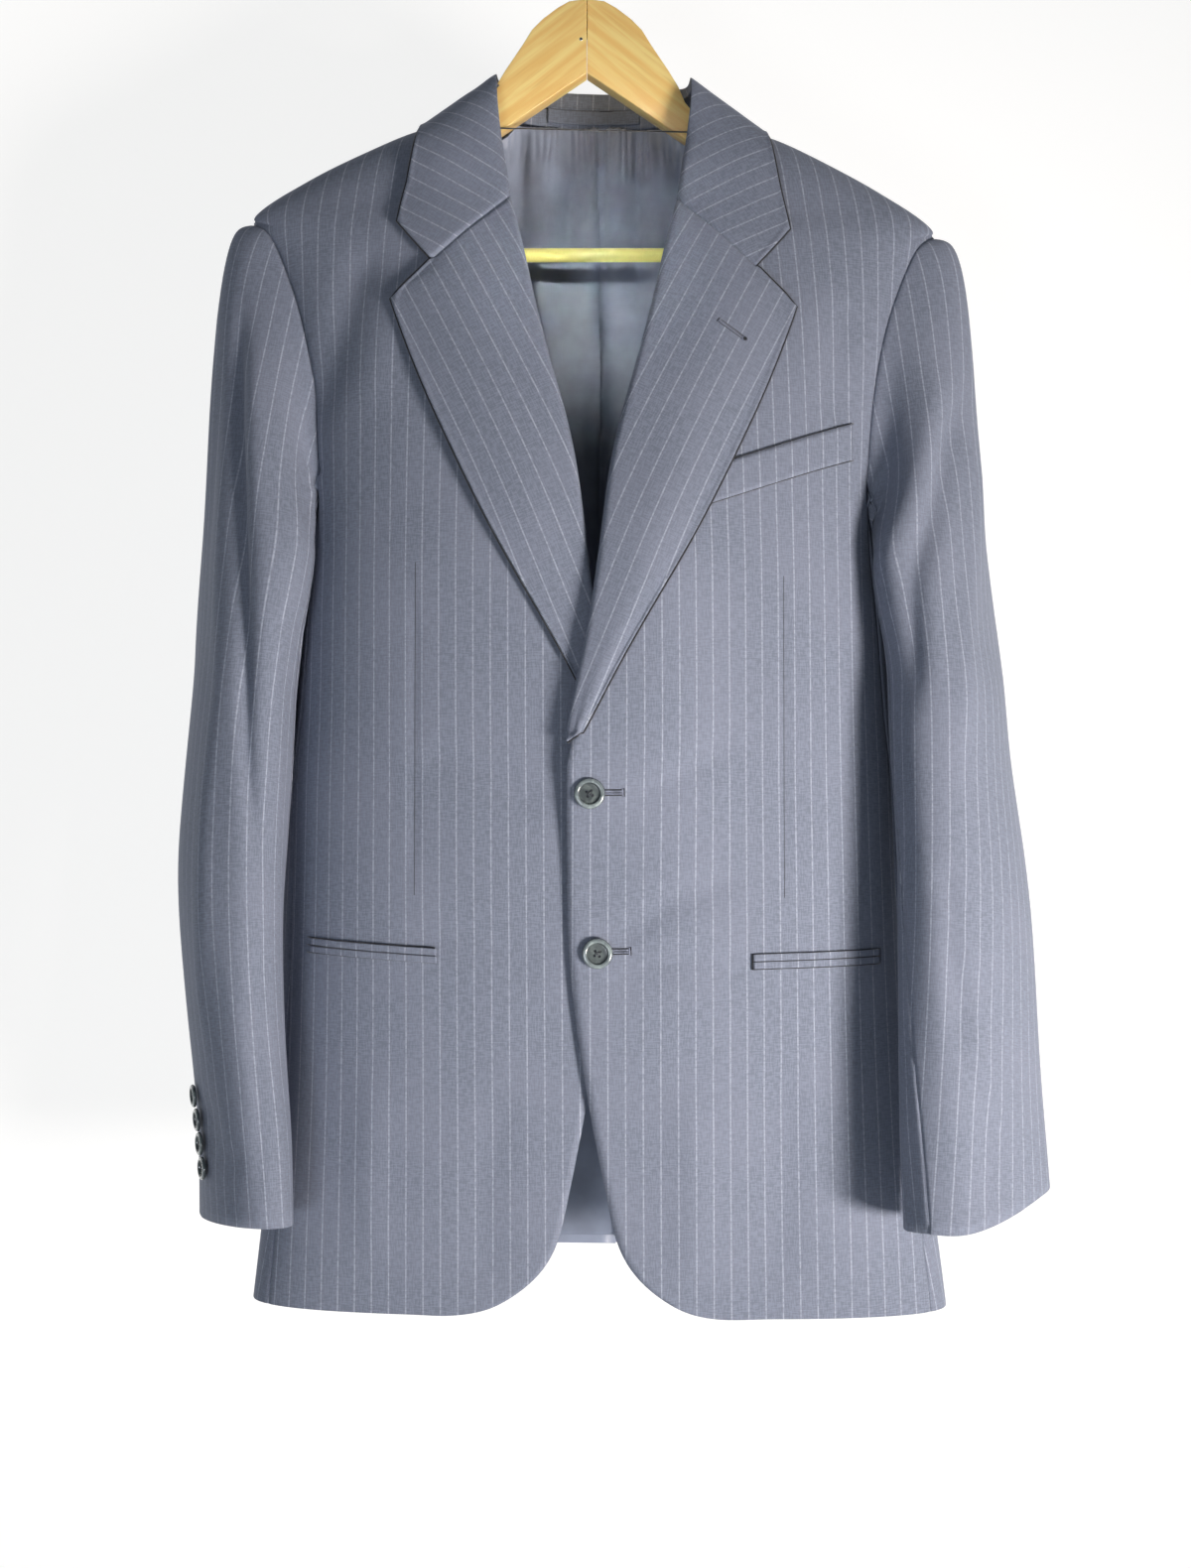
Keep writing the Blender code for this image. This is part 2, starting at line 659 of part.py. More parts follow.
def drilled_button(name, size, material):
    """One button mesh with its four thread holes, to be shared by its copies."""
    radius, thickness = size
    blank = bpy.data.objects.new(name, button_mesh(name, radius, thickness))
    cutters.objects.link(blank)
    spacing = radius * 0.2
    drills = []
    for k in range(4):
        x, y = spacing * cos(pi / 4 + k * pi / 2), spacing * sin(pi / 4 + k * pi / 2)
        low, high = RAIL_HEIGHT - thickness, RAIL_HEIGHT + thickness
        drills.append(rod(f"{name}_drill_{k}", (x, y, low), (x, y, high), radius * 0.085, 6,
                          cutters))
    mesh_data = drilled(blank, drills)
    for helper in drills + [blank]:
        bpy.data.objects.remove(helper)
    mesh_data.materials.clear()
    mesh_data.materials.append(material)
    return mesh_data


def set_button(name, mesh_data, point, normal, stand):
    """Puts a button on a cloth point, its back that far off the cloth."""
    piece = bpy.data.objects.new(name, mesh_data)
    jacket.objects.link(piece)
    aim = normal.to_track_quat("Z", "Y")
    piece.rotation_mode = "QUATERNION"
    piece.rotation_quaternion = aim
    piece.location = hung(point + normal * stand)
    return piece


def front_buttons(material):
    mesh_data = drilled_button("front_button", FRONT_BUTTON, material)
    for k, (across, height) in enumerate(FRONT_BUTTONS):
        point = front_surface(1, across, height)
        set_button(f"button_front_{k + 1}", mesh_data, point, Vector((0, -1, 0)),
                   FRONT_BUTTON[1] / 2 + 0.7)


def sleeve_buttons(side, rings, angle, material):
    """Four kissing buttons beside the back seam of one cuff."""
    mesh_data = drilled_button(f"sleeve_button_{NAMES[side]}", SLEEVE_BUTTON, material)
    height = SLEEVE_BUTTON_FIRST
    for k in range(4):
        point = sleeve_point(side, rings, angle, height)
        around = sleeve_point(side, rings, angle + 0.1, height) - sleeve_point(
            side, rings, angle - 0.1, height)
        upward = sleeve_point(side, rings, angle, height + 5) - point
        normal = around.cross(upward).normalized() * -side
        set_button(f"button_sleeve_{NAMES[side]}_{k + 1}", mesh_data, point, normal,
                   SLEEVE_BUTTON[1] / 2 + 1.2)
        height -= SLEEVE_BUTTON_PITCH * 5 / upward.length


# ---------------------------------------------------------------- the hanger

def hanger_arm(side, material):
    """Half of the hanger, cut from a board, with the bar's and the hook's sockets."""
    outline = [(x * side, z) for x, z in HANGER_TOP + HANGER_UNDER]
    curve = bpy.data.curves.new(f"hanger_arm_{NAMES[side]}", "CURVE")
    curve.dimensions = "2D"
    curve.fill_mode = "BOTH"
    curve.extrude = HANGER_THICKNESS / 2 * MM
    spline = curve.splines.new("POLY")
    spline.points.add(len(outline) - 1)
    for point, (x, z) in zip(spline.points, outline):
        joint = SEAM_GAP / 2 * side if x == 0 else 0.0
        point.co = ((x + joint) * MM, (z - RAIL_HEIGHT) * MM, 0, 1)
    spline.use_cyclic_u = True
    drawn = bpy.data.objects.new("drawn_arm", curve)
    drawn.rotation_euler = (pi / 2, 0, 0)
    cutters.objects.link(drawn)
    graph = bpy.context.evaluated_depsgraph_get()
    board = bpy.data.meshes.new_from_object(drawn.evaluated_get(graph))
    board.transform(drawn.matrix_basis)
    bpy.data.objects.remove(drawn)
    shape = bmesh.new()
    shape.from_mesh(board)
    bmesh.ops.remove_doubles(shape, verts=shape.verts[:], dist=1e-5)
    bmesh.ops.recalc_face_normals(shape, faces=shape.faces[:])
    shape.to_mesh(board)
    shape.free()
    blank = bpy.data.objects.new("blank_arm", board)
    cutters.objects.link(blank)
    reach = BAR["half_length"] + 0.6
    bar_drill = rod("bar_drill", (0, 0, BAR["height"]), (reach * side, 0, BAR["height"]),
                    BAR["radius"] + 0.4, 16, cutters)
    hook_drill = rod("hook_drill", (0, 0, 535 - HOOK["socket"] - 0.6), (0, 0, 560),
                     HOOK["wire"] + 0.4, 12, cutters)
    mesh_data = drilled(blank, (bar_drill, hook_drill))
    for helper in (bar_drill, hook_drill, blank):
        bpy.data.objects.remove(helper)
    mesh_data.materials.clear()
    return new_object(f"hanger_arm_{NAMES[side]}", mesh_data, material)


def hanger_hook(material):
    """The wire hook: a straight shank, a bend to the side and three quarters of a ring."""
    ring = HOOK["radius"] + HOOK["wire"]
    centre = RAIL_HEIGHT - HOOK["radius"]
    points = [(0, 535 - HOOK["socket"]), (0, 545), (0, 556), (-0.8, 563), (-4.2, 569.4),
              (-9.6, 574.2)]
    for k in range(17):
        angle = radians(228 - 15.5 * k)
        points.append((cos(angle) * ring, centre + sin(angle) * ring))
    curve = bpy.data.curves.new("hook", "CURVE")
    curve.dimensions = "3D"
    curve.bevel_depth = HOOK["wire"] * MM
    curve.bevel_resolution = 2
    curve.use_fill_caps = True
    spline = curve.splines.new("POLY")
    spline.points.add(len(points) - 1)
    for point, (x, z) in zip(spline.points, points):
        point.co = (x * MM, 0, (z - RAIL_HEIGHT) * MM, 1)
    drawn = bpy.data.objects.new("drawn_hook", curve)
    cutters.objects.link(drawn)
    graph = bpy.context.evaluated_depsgraph_get()
    mesh_data = bpy.data.meshes.new_from_object(drawn.evaluated_get(graph))
    bpy.data.objects.remove(drawn)
    shape = bmesh.new()
    shape.from_mesh(mesh_data)
    bmesh.ops.remove_doubles(shape, verts=shape.verts[:], dist=1e-5)
    return finish(shape, "hanger_hook", material)


# ---------------------------------------------------------------- materials and assembly

def plain_material(name, colour, roughness, metallic=0.0):
    material = bpy.data.materials.new(name)
    material.use_nodes = True
    shader = material.node_tree.nodes["Principled BSDF"]
    shader.inputs["Base Color"].default_value = (*colour, 1)
    shader.inputs["Roughness"].default_value = roughness
    shader.inputs["Metallic"].default_value = metallic
    return material


for leftover in list(bpy.data.objects):
    bpy.data.objects.remove(leftover)
jacket = bpy.data.collections.new("suit_jacket")
cutters = bpy.data.collections.new("cutters")
bpy.context.scene.collection.children.link(jacket)
bpy.context.scene.collection.children.link(cutters)

NAMES = {1: "left", -1: "right"}
SLEEVES = {1: LEFT_SLEEVE, -1: RIGHT_SLEEVE}
worsted = plain_material("worsted_wool", (0.085, 0.095, 0.15), 0.85)
satin = plain_material("satin_lining", (0.07, 0.09, 0.13), 0.35)
horn = plain_material("horn_button", (0.02, 0.025, 0.03), 0.25)
beech = plain_material("lacquered_beech", (0.80, 0.50, 0.20), 0.35)
yellow_bar = plain_material("lacquered_bar", (0.85, 0.66, 0.16), 0.30)
steel = plain_material("plated_steel", (0.60, 0.60, 0.62), 0.25, 1.0)

for side, rings in SLEEVES.items():
    front_panel(side, worsted)
    side_panel(side, worsted)
    back_panel(side, worsted)
    lapel(side, worsted)
    lining_panel(side, satin)
    ring_size = len(armhole_ring(side))
    front_seam = list(reversed(ARMHOLE_LEVELS)).index(SEAM_PITCH)
    back_seam = ring_size - front_seam
    sleeve_panel(side, rings, back_seam, front_seam, f"top_sleeve_{NAMES[side]}", worsted)
    sleeve_panel(side, rings, front_seam, back_seam, f"under_sleeve_{NAMES[side]}", worsted)
    upper = POCKET["bottom"] + POCKET["depth"] + 0.6
    laid_strip(f"pocket_jet_lower_{NAMES[side]}", side, POCKET["inner"], POCKET["outer"],
               POCKET["bottom"], POCKET["rise"], POCKET["depth"], 0.6, 8, worsted)
    laid_strip(f"pocket_jet_upper_{NAMES[side]}", side, POCKET["inner"], POCKET["outer"],
               upper, POCKET["rise"], POCKET["depth"], 0.6, 8, worsted)
    sleeve_buttons(side, rings, radians(-62), horn)
    hanger_arm(side, beech)

laid_strip("chest_welt", 1, WELT["inner"], WELT["outer"], WELT["bottom"], WELT["rise"],
           WELT["depth"], 0.6, 10, worsted)
collar(worsted)
neck_strip("neck_facing", 50, 478.8, 13.0, 3.6, TRIM, 10, worsted)
neck_strip("hanging_loop", LOOP["half_length"], LOOP["top"], LOOP["width"], 5.4, TRIM, 8, worsted)
front_buttons(horn)
rod("trouser_bar", (-BAR["half_length"], 0, BAR["height"]),
    (BAR["half_length"], 0, BAR["height"]), BAR["radius"], 16, jacket, yellow_bar)
hanger_hook(steel)
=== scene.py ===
"""Finish of a two-button pinstripe suit jacket that hangs on a wooden hanger.

Axes: +X towards the jacket's own left sleeve, -Y out of its front, +Z up.
Sizes are metres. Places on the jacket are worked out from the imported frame, and counted in
millimetres from the centre line and the waist line where a maker would lay a tape.
"""

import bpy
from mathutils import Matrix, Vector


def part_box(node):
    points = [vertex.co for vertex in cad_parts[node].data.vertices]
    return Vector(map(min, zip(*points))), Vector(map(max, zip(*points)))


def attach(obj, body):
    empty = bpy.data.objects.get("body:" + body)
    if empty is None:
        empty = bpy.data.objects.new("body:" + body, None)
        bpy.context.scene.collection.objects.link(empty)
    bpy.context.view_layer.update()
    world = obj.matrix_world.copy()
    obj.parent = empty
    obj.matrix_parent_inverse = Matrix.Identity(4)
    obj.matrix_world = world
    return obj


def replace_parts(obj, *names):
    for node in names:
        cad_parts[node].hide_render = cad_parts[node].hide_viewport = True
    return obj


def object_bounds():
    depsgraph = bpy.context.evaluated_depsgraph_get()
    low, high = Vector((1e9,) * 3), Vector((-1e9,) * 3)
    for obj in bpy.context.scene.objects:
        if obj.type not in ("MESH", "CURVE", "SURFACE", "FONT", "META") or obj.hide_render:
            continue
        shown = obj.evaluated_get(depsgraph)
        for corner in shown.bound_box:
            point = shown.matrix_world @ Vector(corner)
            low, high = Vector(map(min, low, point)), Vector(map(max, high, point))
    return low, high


bl_info = {
    "name": "Pinstripe suit jacket",
    "version": (1, 0, 0),
    "blender": (4, 5, 0),
    "location": "3D View > Sidebar > Jacket",
    "description": "Dresses the packed jacket and hanger in cloth, lining, horn and wood",
    "category": "Object",
}

from math import cos, exp, pi, radians, sin, tan

import bmesh
import bpy
import numpy as np
from bpy.props import FloatProperty, FloatVectorProperty, PointerProperty
from mathutils import Matrix, Vector, noise
from mathutils.bvhtree import BVHTree
from mathutils.kdtree import KDTree

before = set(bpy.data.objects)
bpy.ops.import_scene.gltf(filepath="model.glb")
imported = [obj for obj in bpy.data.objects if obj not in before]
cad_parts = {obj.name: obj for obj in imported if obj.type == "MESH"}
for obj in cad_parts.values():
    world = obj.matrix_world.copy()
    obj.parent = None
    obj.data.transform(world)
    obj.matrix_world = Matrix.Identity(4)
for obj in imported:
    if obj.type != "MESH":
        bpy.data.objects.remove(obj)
CAD_LOW, CAD_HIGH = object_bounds()

MM = 0.001
BODY = "root"
NAMES = {1: "left", -1: "right"}       # the wearer's sides; left is +X


def centre_of(node):
    low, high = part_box(node)
    return (low + high) / 2


# The upper button stands 6 mm under the waist line and 2.5 mm short of the centre line.
WAIST = centre_of("button_front_1") + Vector((2.5, 0, 6.0)) * MM
CENTRE = WAIST.x
ASKEW = 0.02      # how far the hung jacket tips down towards its own left, per length across


def at(across, height, depth=-80.0):
    """A place on the hung jacket, in millimetres from the centre line, waist line and rail."""
    return Vector((CENTRE + across * MM, depth * MM, WAIST.z + (height - ASKEW * across) * MM))


def linear(code):
    """A colour from its sRGB hex code, as the linear values that shaders take."""
    parts = [int(code[i:i + 2], 16) / 255 for i in (1, 3, 5)]
    return tuple(c / 12.92 if c <= 0.04045 else ((c + 0.055) / 1.055) ** 2.4 for c in parts)


def ramp(value, start, end):
    """0 before start and 1 after end, straight between; start may be the larger one."""
    return np.clip((value - start) / (end - start), 0, 1)


# ---------------------------------------------------------------- settings

def colour_setting(name, description, code):
    return FloatVectorProperty(name=name, description=description, subtype="COLOR", size=3,
                               min=0, max=1, default=linear(code))


def length_setting(name, description, metres):
    return FloatProperty(name=name, description=description, default=metres, min=0,
                         unit="LENGTH", precision=4)


class ClothSettings(bpy.types.PropertyGroup):
    colour: colour_setting("Cloth", "Ground colour of the worsted", "#747B8A")
    stripe_colour: colour_setting("Stripe", "Colour of the pinstripe yarn", "#AEB4C2")
    worn_colour: colour_setting("Worn cloth", "Colour of the ground where it is handled", "#7F8494")
    thread_colour: colour_setting("Thread", "Colour of the buttonhole twist", "#7A8194")
    stripe_pitch: length_setting("Stripe pitch", "From one pinstripe to the next", 0.0114)
    stripe_width: length_setting("Stripe width", "Width of one pinstripe", 0.0009)
    thickness: length_setting("Thickness", "Thickness of the fused cloth", 0.0013)


class LiningSettings(bpy.types.PropertyGroup):
    colour: colour_setting("Lining", "Colour of the satin lining", "#8A93A6")
    thickness: length_setting("Thickness", "Thickness of the lining", 0.0006)


class ButtonSettings(bpy.types.PropertyGroup):
    colour: colour_setting("Horn", "Colour of the button", "#454C4E")
    veins: colour_setting("Veins", "Colour of the paler veins in the horn", "#5F6867")


class HangerSettings(bpy.types.PropertyGroup):
    wood: colour_setting("Wood", "Colour of the lacquered arms", "#FFE494")
    grain: colour_setting("Grain", "Colour of the darker grain", "#F6CA7A")
    bar: colour_setting("Bar", "Colour of the lacquered trouser bar", "#FFF890")
    steel: colour_setting("Hook", "Colour of the plated wire", "#B9BCC0")
    easing: length_setting("Easing", "Radius that the edges of the arms are rounded to", 0.0022)


class StageSettings(bpy.types.PropertyGroup):
    wall: colour_setting("Wall", "Colour of the wall and the floor", "#F4F4F3")
    wall_gap: length_setting("Wall gap", "From the jacket's back to the wall", 0.16)
    floor_gap: length_setting("Floor gap", "From the hem to the floor", 0.55)
    wall_glow: FloatProperty(name="Wall glow", description="Light that the backdrop gives off",
                             default=0.89, min=0)
    room_light: FloatProperty(name="Room light", description="Light from all round",
                              default=0.10, min=0)
    window_power: FloatProperty(name="Window", description="Power of the key light, in watts",
                                default=7.8, min=0)
    neck_power: FloatProperty(name="Neck lamp", description="Power of the lamp on the bar",
                              default=0.03, min=0)
    fill_power: FloatProperty(name="Fill", description="Power of the fill light, in watts",
                              default=10, min=0)
    back_power: FloatProperty(name="Behind", description="Power of the light behind, in watts",
                              default=22, min=0)
    distance: length_setting("Camera distance", "From the camera to the hanger", 1.285)
    camera_across: length_setting("Camera across", "Camera to the jacket's left of the hanger",
                                  0.0059)
    view_angle: FloatProperty(name="View", description="Angle of view from top to bottom",
                              default=radians(45.4), subtype="ANGLE")


# ---------------------------------------------------------------- materials

def node(tree, kind, settings=None, out=0, **inputs):
    """Adds a shader node, sets its properties, sets or links its inputs, and returns an output."""
    added = tree.nodes.new(kind)
    for name, value in (settings or {}).items():
        setattr(added, name, value)
    for name, value in inputs.items():
        key = int(name[1:]) if name[0] == "_" else name.replace("_", " ")
        socket = added.inputs[key]
        if isinstance(value, bpy.types.NodeSocket):
            tree.links.new(value, socket)
        else:
            socket.default_value = value
    return added.outputs[out]


MATHS, MIX, RANGE = "ShaderNodeMath", "ShaderNodeMix", "ShaderNodeMapRange"
NOISE, WAVE, BUMP = "ShaderNodeTexNoise", "ShaderNodeTexWave", "ShaderNodeBump"
MAPPING, COORDS, CUT = "ShaderNodeMapping", "ShaderNodeTexCoord", "ShaderNodeUVMap"
COLOUR = {"data_type": "RGBA"}
SMOOTH = {"interpolation_type": "SMOOTHSTEP"}
FLAT = {"noise_dimensions": "2D"}
TWILLED = {"wave_type": "BANDS", "bands_direction": "DIAGONAL"}
BAND = 2 * pi / 10 / 2**0.5      # metres between a diagonal Wave's bands at a scale of 1
OBJECT = 3      # the Object output of a Texture Coordinate node
COLOUR_OUT = 2  # the colour output of a Mix node


def new_material(name):
    """A material with a bare Principled shader, its tree and that shader."""
    material = bpy.data.materials.new(name)
    material.use_nodes = True
    tree = material.node_tree
    return material, tree, tree.nodes["Principled BSDF"]


def dressed(tree, shader, base, roughness, bump=None, **values):
    """Links the worked-out colour, roughness and bump, and sets the plain values."""
    tree.links.new(base, shader.inputs["Base Color"])
    tree.links.new(roughness, shader.inputs["Roughness"])
    if bump:
        tree.links.new(bump, shader.inputs["Normal"])
    for name, value in values.items():
        shader.inputs[name.replace("_", " ")].default_value = value


def rgba(colour, tone=1.0):
    return (*[c * tone for c in colour], 1.0)


def worsted_material(name, settings, striped=True, tone=1.0):
    """Worsted wool, finely woven and pressed: matt, with a faint bloom of fibres at the edges."""
    material, tree, shader = new_material(name)
    place = node(tree, CUT, {"uv_map": "cut"})
    across = node(tree, "ShaderNodeSeparateXYZ", _0=place)
    # Melange yarn: warp and weft threads differ a little in tone. They are 0.4 mm apart on the
    # real cloth and drawn at 0.9 mm to show.
    warp = node(tree, NOISE, FLAT, Scale=1.0, Detail=2.0,
                Vector=node(tree, MAPPING, Vector=place, Scale=(1 / 0.0009, 1 / 0.006, 1.0)))
    weft = node(tree, NOISE, FLAT, Scale=1.0, Detail=2.0,
                Vector=node(tree, MAPPING, Vector=place, Scale=(1 / 0.006, 1 / 0.0009, 1.0)))
    weave = node(tree, MATHS, {"operation": "ADD"}, _0=warp, _1=weft)
    base = node(tree, MIX, COLOUR, COLOUR_OUT,
                _0=node(tree, RANGE, SMOOTH, _0=weave, _1=0.75, _2=1.25),
                _6=rgba(settings.colour, 0.86 * tone), _7=rgba(settings.colour, 1.14 * tone))
    # Wear and handling leave soft clouds about a hand's breadth wide.
    cloudy = node(tree, NOISE, FLAT, Vector=place, Scale=1 / 0.07, Detail=3.0)
    base = node(tree, MIX, COLOUR, COLOUR_OUT,
                _0=node(tree, RANGE, SMOOTH, _0=cloudy, _1=0.35, _2=0.7, _3=0.0, _4=0.3),
                _6=base, _7=rgba(settings.worn_colour, tone))
    if striped:
        turn = node(tree, MATHS, {"operation": "DIVIDE"}, _0=across, _1=settings.stripe_pitch)
        nearest = node(tree, MATHS, {"operation": "ROUND"}, _0=turn)
        off = node(tree, MATHS, {"operation": "ABSOLUTE"},
                   _0=node(tree, MATHS, {"operation": "SUBTRACT"}, _0=turn, _1=nearest))
        # Each stripe is a row of pin dots 1 mm apart, drawn at 2 mm, which fade here and there.
        dots = node(tree, NOISE, FLAT, Scale=1.0, Detail=1.0,
                    Vector=node(tree, MAPPING, Vector=place, Scale=(1 / 0.006, 1 / 0.002, 1.0)))
        half = settings.stripe_width / 2 / settings.stripe_pitch
        line = node(tree, MATHS, {"operation": "MULTIPLY"},
                    _0=node(tree, RANGE, SMOOTH, _0=off, _1=half * 1.5, _2=half * 0.4),
                    _1=node(tree, RANGE, SMOOTH, _0=dots, _1=0.3, _2=0.65, _3=0.25, _4=0.62))
        base = node(tree, MIX, COLOUR, COLOUR_OUT, _0=line, _6=base,
                    _7=rgba(settings.stripe_colour))
    # Twill runs at 45 degrees, 0.5 mm apart on the real cloth. It is drawn as faint bands 9.8 mm
    # apart, which a pressed cloth shows from further off than its twill.
    twill = node(tree, WAVE, TWILLED, 1, Vector=place, Scale=BAND / 0.00977, Distortion=1.5,
                 Detail=1.0)
    relief = node(tree, MATHS, {"operation": "MULTIPLY_ADD"}, _0=twill, _1=0.4, _2=weave)
    bump = node(tree, BUMP, Strength=0.35, Distance=0.0002, Height=relief)
    dressed(tree, shader, base, node(tree, RANGE, SMOOTH, _0=weave, _1=0.75, _2=1.25, _3=0.72,
                                     _4=0.84), bump,
            IOR=1.45, Specular_IOR_Level=0.22, Sheen_Weight=0.12, Sheen_Roughness=0.45,
            Sheen_Tint=rgba(linear("#C9CDDA")))
    return material


def satin_material(name, settings):
    """Woven viscose satin: smooth, with a long soft gloss across its folds."""
    material, tree, shader = new_material(name)
    place = node(tree, CUT, {"uv_map": "cut"})
    cloudy = node(tree, NOISE, FLAT, Vector=place, Scale=1 / 0.03, Detail=3.0)
    base = node(tree, MIX, COLOUR, COLOUR_OUT,
                _0=node(tree, RANGE, SMOOTH, _0=cloudy, _1=0.3, _2=0.7),
                _6=rgba(settings.colour, 0.92), _7=rgba(settings.colour, 1.12))
    # Warp floats lie along the cloth, 0.15 mm apart on the real one and drawn at 0.5 mm to show.
    floats = node(tree, NOISE, FLAT, Scale=1.0, Detail=1.0,
                  Vector=node(tree, MAPPING, Vector=place, Scale=(1 / 0.0005, 1 / 0.008, 1.0)))
    bump = node(tree, BUMP, Strength=0.2, Distance=0.0001, Height=floats)
    dressed(tree, shader, base, node(tree, RANGE, SMOOTH, _0=floats, _1=0.3, _2=0.7, _3=0.38,
                                     _4=0.50), bump,
            Specular_IOR_Level=0.5, Sheen_Weight=0.1, Anisotropic=0.4)
    return material


def twist_material(name, colour, tone=1.0):
    """Twisted yarn: two plies that spiral, with a low sheen.

    Silk in the buttonholes and navy cotton in the buttons. The darkest is painted shade: a
    near-black cord laid in the groove of a seam or under a turned edge, where the cloth lies in its
    own shadow.
    """
    material, tree, shader = new_material(name)
    place = node(tree, COORDS, out=OBJECT)
    # A turn of the plies is 0.5 mm long on the real yarn, and is drawn at 7 mm to show.
    plies = node(tree, WAVE, TWILLED, 1, Vector=place, Scale=BAND / 0.00711, Distortion=0.6)
    base = node(tree, MIX, COLOUR, COLOUR_OUT, _0=plies, _6=rgba(colour, 0.6 * tone),
                _7=rgba(colour, tone))
    bump = node(tree, BUMP, Strength=0.5, Distance=0.0002, Height=plies)
    dressed(tree, shader, base, node(tree, RANGE, SMOOTH, _0=plies, _1=0.0, _2=1.0, _3=0.52,
                                     _4=0.66), bump, Sheen_Weight=0.3)
    return material


def horn_material(name, settings, tone=1.0, coat=0.4):
    """Polished horn, turned: slate grey with paler veins under a wet gloss. Its rim copy is partly
    paler polished horn and partly painted highlight.
    """
    material, tree, shader = new_material(name)
    place = node(tree, COORDS, out=OBJECT)
    veins = node(tree, NOISE, Vector=place, Scale=1 / 0.009, Detail=2.0, Distortion=0.8)
    base = node(tree, MIX, COLOUR, COLOUR_OUT,
                _0=node(tree, RANGE, SMOOTH, _0=veins, _1=0.45, _2=0.7),
                _6=rgba(settings.colour, tone), _7=rgba(settings.veins, tone))
    # The lathe and the polishing wheel leave a faint ripple 0.6 mm wide.
    turned_marks = node(tree, NOISE, Vector=place, Scale=1 / 0.0006, Detail=1.0)
    bump = node(tree, BUMP, Strength=0.06, Distance=0.0002, Height=turned_marks)
    dressed(tree, shader, base, node(tree, RANGE, SMOOTH, _0=veins, _1=0.3, _2=0.7, _3=0.16,
                                     _4=0.28), bump,
            IOR=1.54, Coat_Weight=coat, Coat_Roughness=0.08)
    return material


def wood_material(name, colour, grain, slope):
    """Lacquered maple, sawn and sanded: pale straight grain under a clear satin coat."""
    material, tree, shader = new_material(name)
    place = node(tree, MAPPING, Rotation=(0.0, slope, 0.0), Vector=node(tree, COORDS, out=OBJECT))
    # Year rings show as soft bands about 6 mm apart that run along the arm.
    rings = node(tree, NOISE, Scale=1.0, Detail=3.0, Distortion=0.4,
                 Vector=node(tree, MAPPING, Vector=place, Scale=(1 / 0.08, 1 / 0.006, 1 / 0.006)))
    # Pores are streaks 0.2 mm wide on the real wood, drawn at 0.6 mm to show.
    pores = node(tree, NOISE, Scale=1.0, Detail=2.0,
                 Vector=node(tree, MAPPING, Vector=place, Scale=(1 / 0.03, 1 / 0.0006, 1 / 0.0006)))
    base = node(tree, MIX, COLOUR, COLOUR_OUT,
                _0=node(tree, RANGE, SMOOTH, _0=rings, _1=0.35, _2=0.65),
                _6=rgba(colour), _7=rgba(grain))
    base = node(tree, MIX, COLOUR, COLOUR_OUT,
                _0=node(tree, RANGE, SMOOTH, _0=pores, _1=0.55, _2=0.75, _3=0.0, _4=0.3),
                _6=base, _7=rgba(grain, 0.8))
    bump = node(tree, BUMP, Strength=0.12, Distance=0.0002, Height=pores)
    dressed(tree, shader, base, node(tree, RANGE, SMOOTH, _0=pores, _1=0.3, _2=0.7, _3=0.29,
                                     _4=0.42), bump,
            Coat_Weight=0.35, Coat_Roughness=0.15)
    return material


def steel_material(name, colour):
    """Nickel-plated steel wire, drawn: bright, with faint marks along the wire."""
    material, tree, shader = new_material(name)
    place = node(tree, COORDS, out=OBJECT)
    marks = node(tree, NOISE, Vector=place, Scale=1 / 0.0015, Detail=2.0)
    base = node(tree, MIX, COLOUR, COLOUR_OUT, _0=marks, _6=rgba(colour, 0.9), _7=rgba(colour))
    dressed(tree, shader, base, node(tree, RANGE, SMOOTH, _0=marks, _1=0.3, _2=0.7, _3=0.18,
                                     _4=0.32), Metallic=1.0)
    return material


def paint_material(name, colour, glow, tone=1.0):
    """Matt white paint on a lit studio backdrop, which isn't there when seen from behind."""
    material, tree, shader = new_material(name)
    place = node(tree, COORDS, out=OBJECT)
    faint = node(tree, NOISE, Vector=place, Scale=2.0, Detail=2.0)
    base = node(tree, MIX, COLOUR, COLOUR_OUT, _0=faint, _6=rgba(colour, tone),
                _7=rgba(colour, 0.985 * tone))
    dressed(tree, shader, base, node(tree, RANGE, SMOOTH, _0=faint, _1=0.3, _2=0.7, _3=0.86,
                                     _4=0.94),
            Specular_IOR_Level=0.1, Emission_Color=rgba(colour), Emission_Strength=glow)
    mixed = node(tree, "ShaderNodeMixShader",
                 _0=node(tree, "ShaderNodeNewGeometry", out="Backfacing"),
                 _1=shader.outputs[0], _2=node(tree, "ShaderNodeBsdfTransparent"))
    tree.links.new(mixed, tree.nodes["Material Output"].inputs[0])
    return material


# ---------------------------------------------------------------- cloth from the frame

SHARPEST_CURVE = radians(36)      # a rim that turns more than this at one point is a corner
WELD = 0.01 * MM          # points of the frame's meshes that are closer than this are one
UNDERARM = 152.0          # height of the armhole's lowest point
ARMHOLE_INNER = 130.0     # every point of the armhole is further out than this
CUFF = -285.0             # height of the sleeves' hems
CUFF_TILTS = {"left": (0.0, 6.0), "right": (7.0, 0.0)}     # drop behind, rise in front
SEAM_GAP = 1.8            # widest gap, in millimetres, between the edges of a flat seam
SEAM_SPREAD = 22 * MM     # how far in from a seam the cloth gives when it is drawn together
SEAM_WIDTH = 1.6 * MM     # half width of the groove along a pressed seam
EDGE_DEPTH = 1.7 * MM     # of the painted-shade cord in the groove under the turned edge of a lapel or collar
FOLD_ENDS = 0.22          # share of a fold's length in which it fades at either end
ROLL = 0.5                # depth in millimetres of the faint roll all over the cloth
ROLL_SIZE = 70 * MM       # breadth of that roll

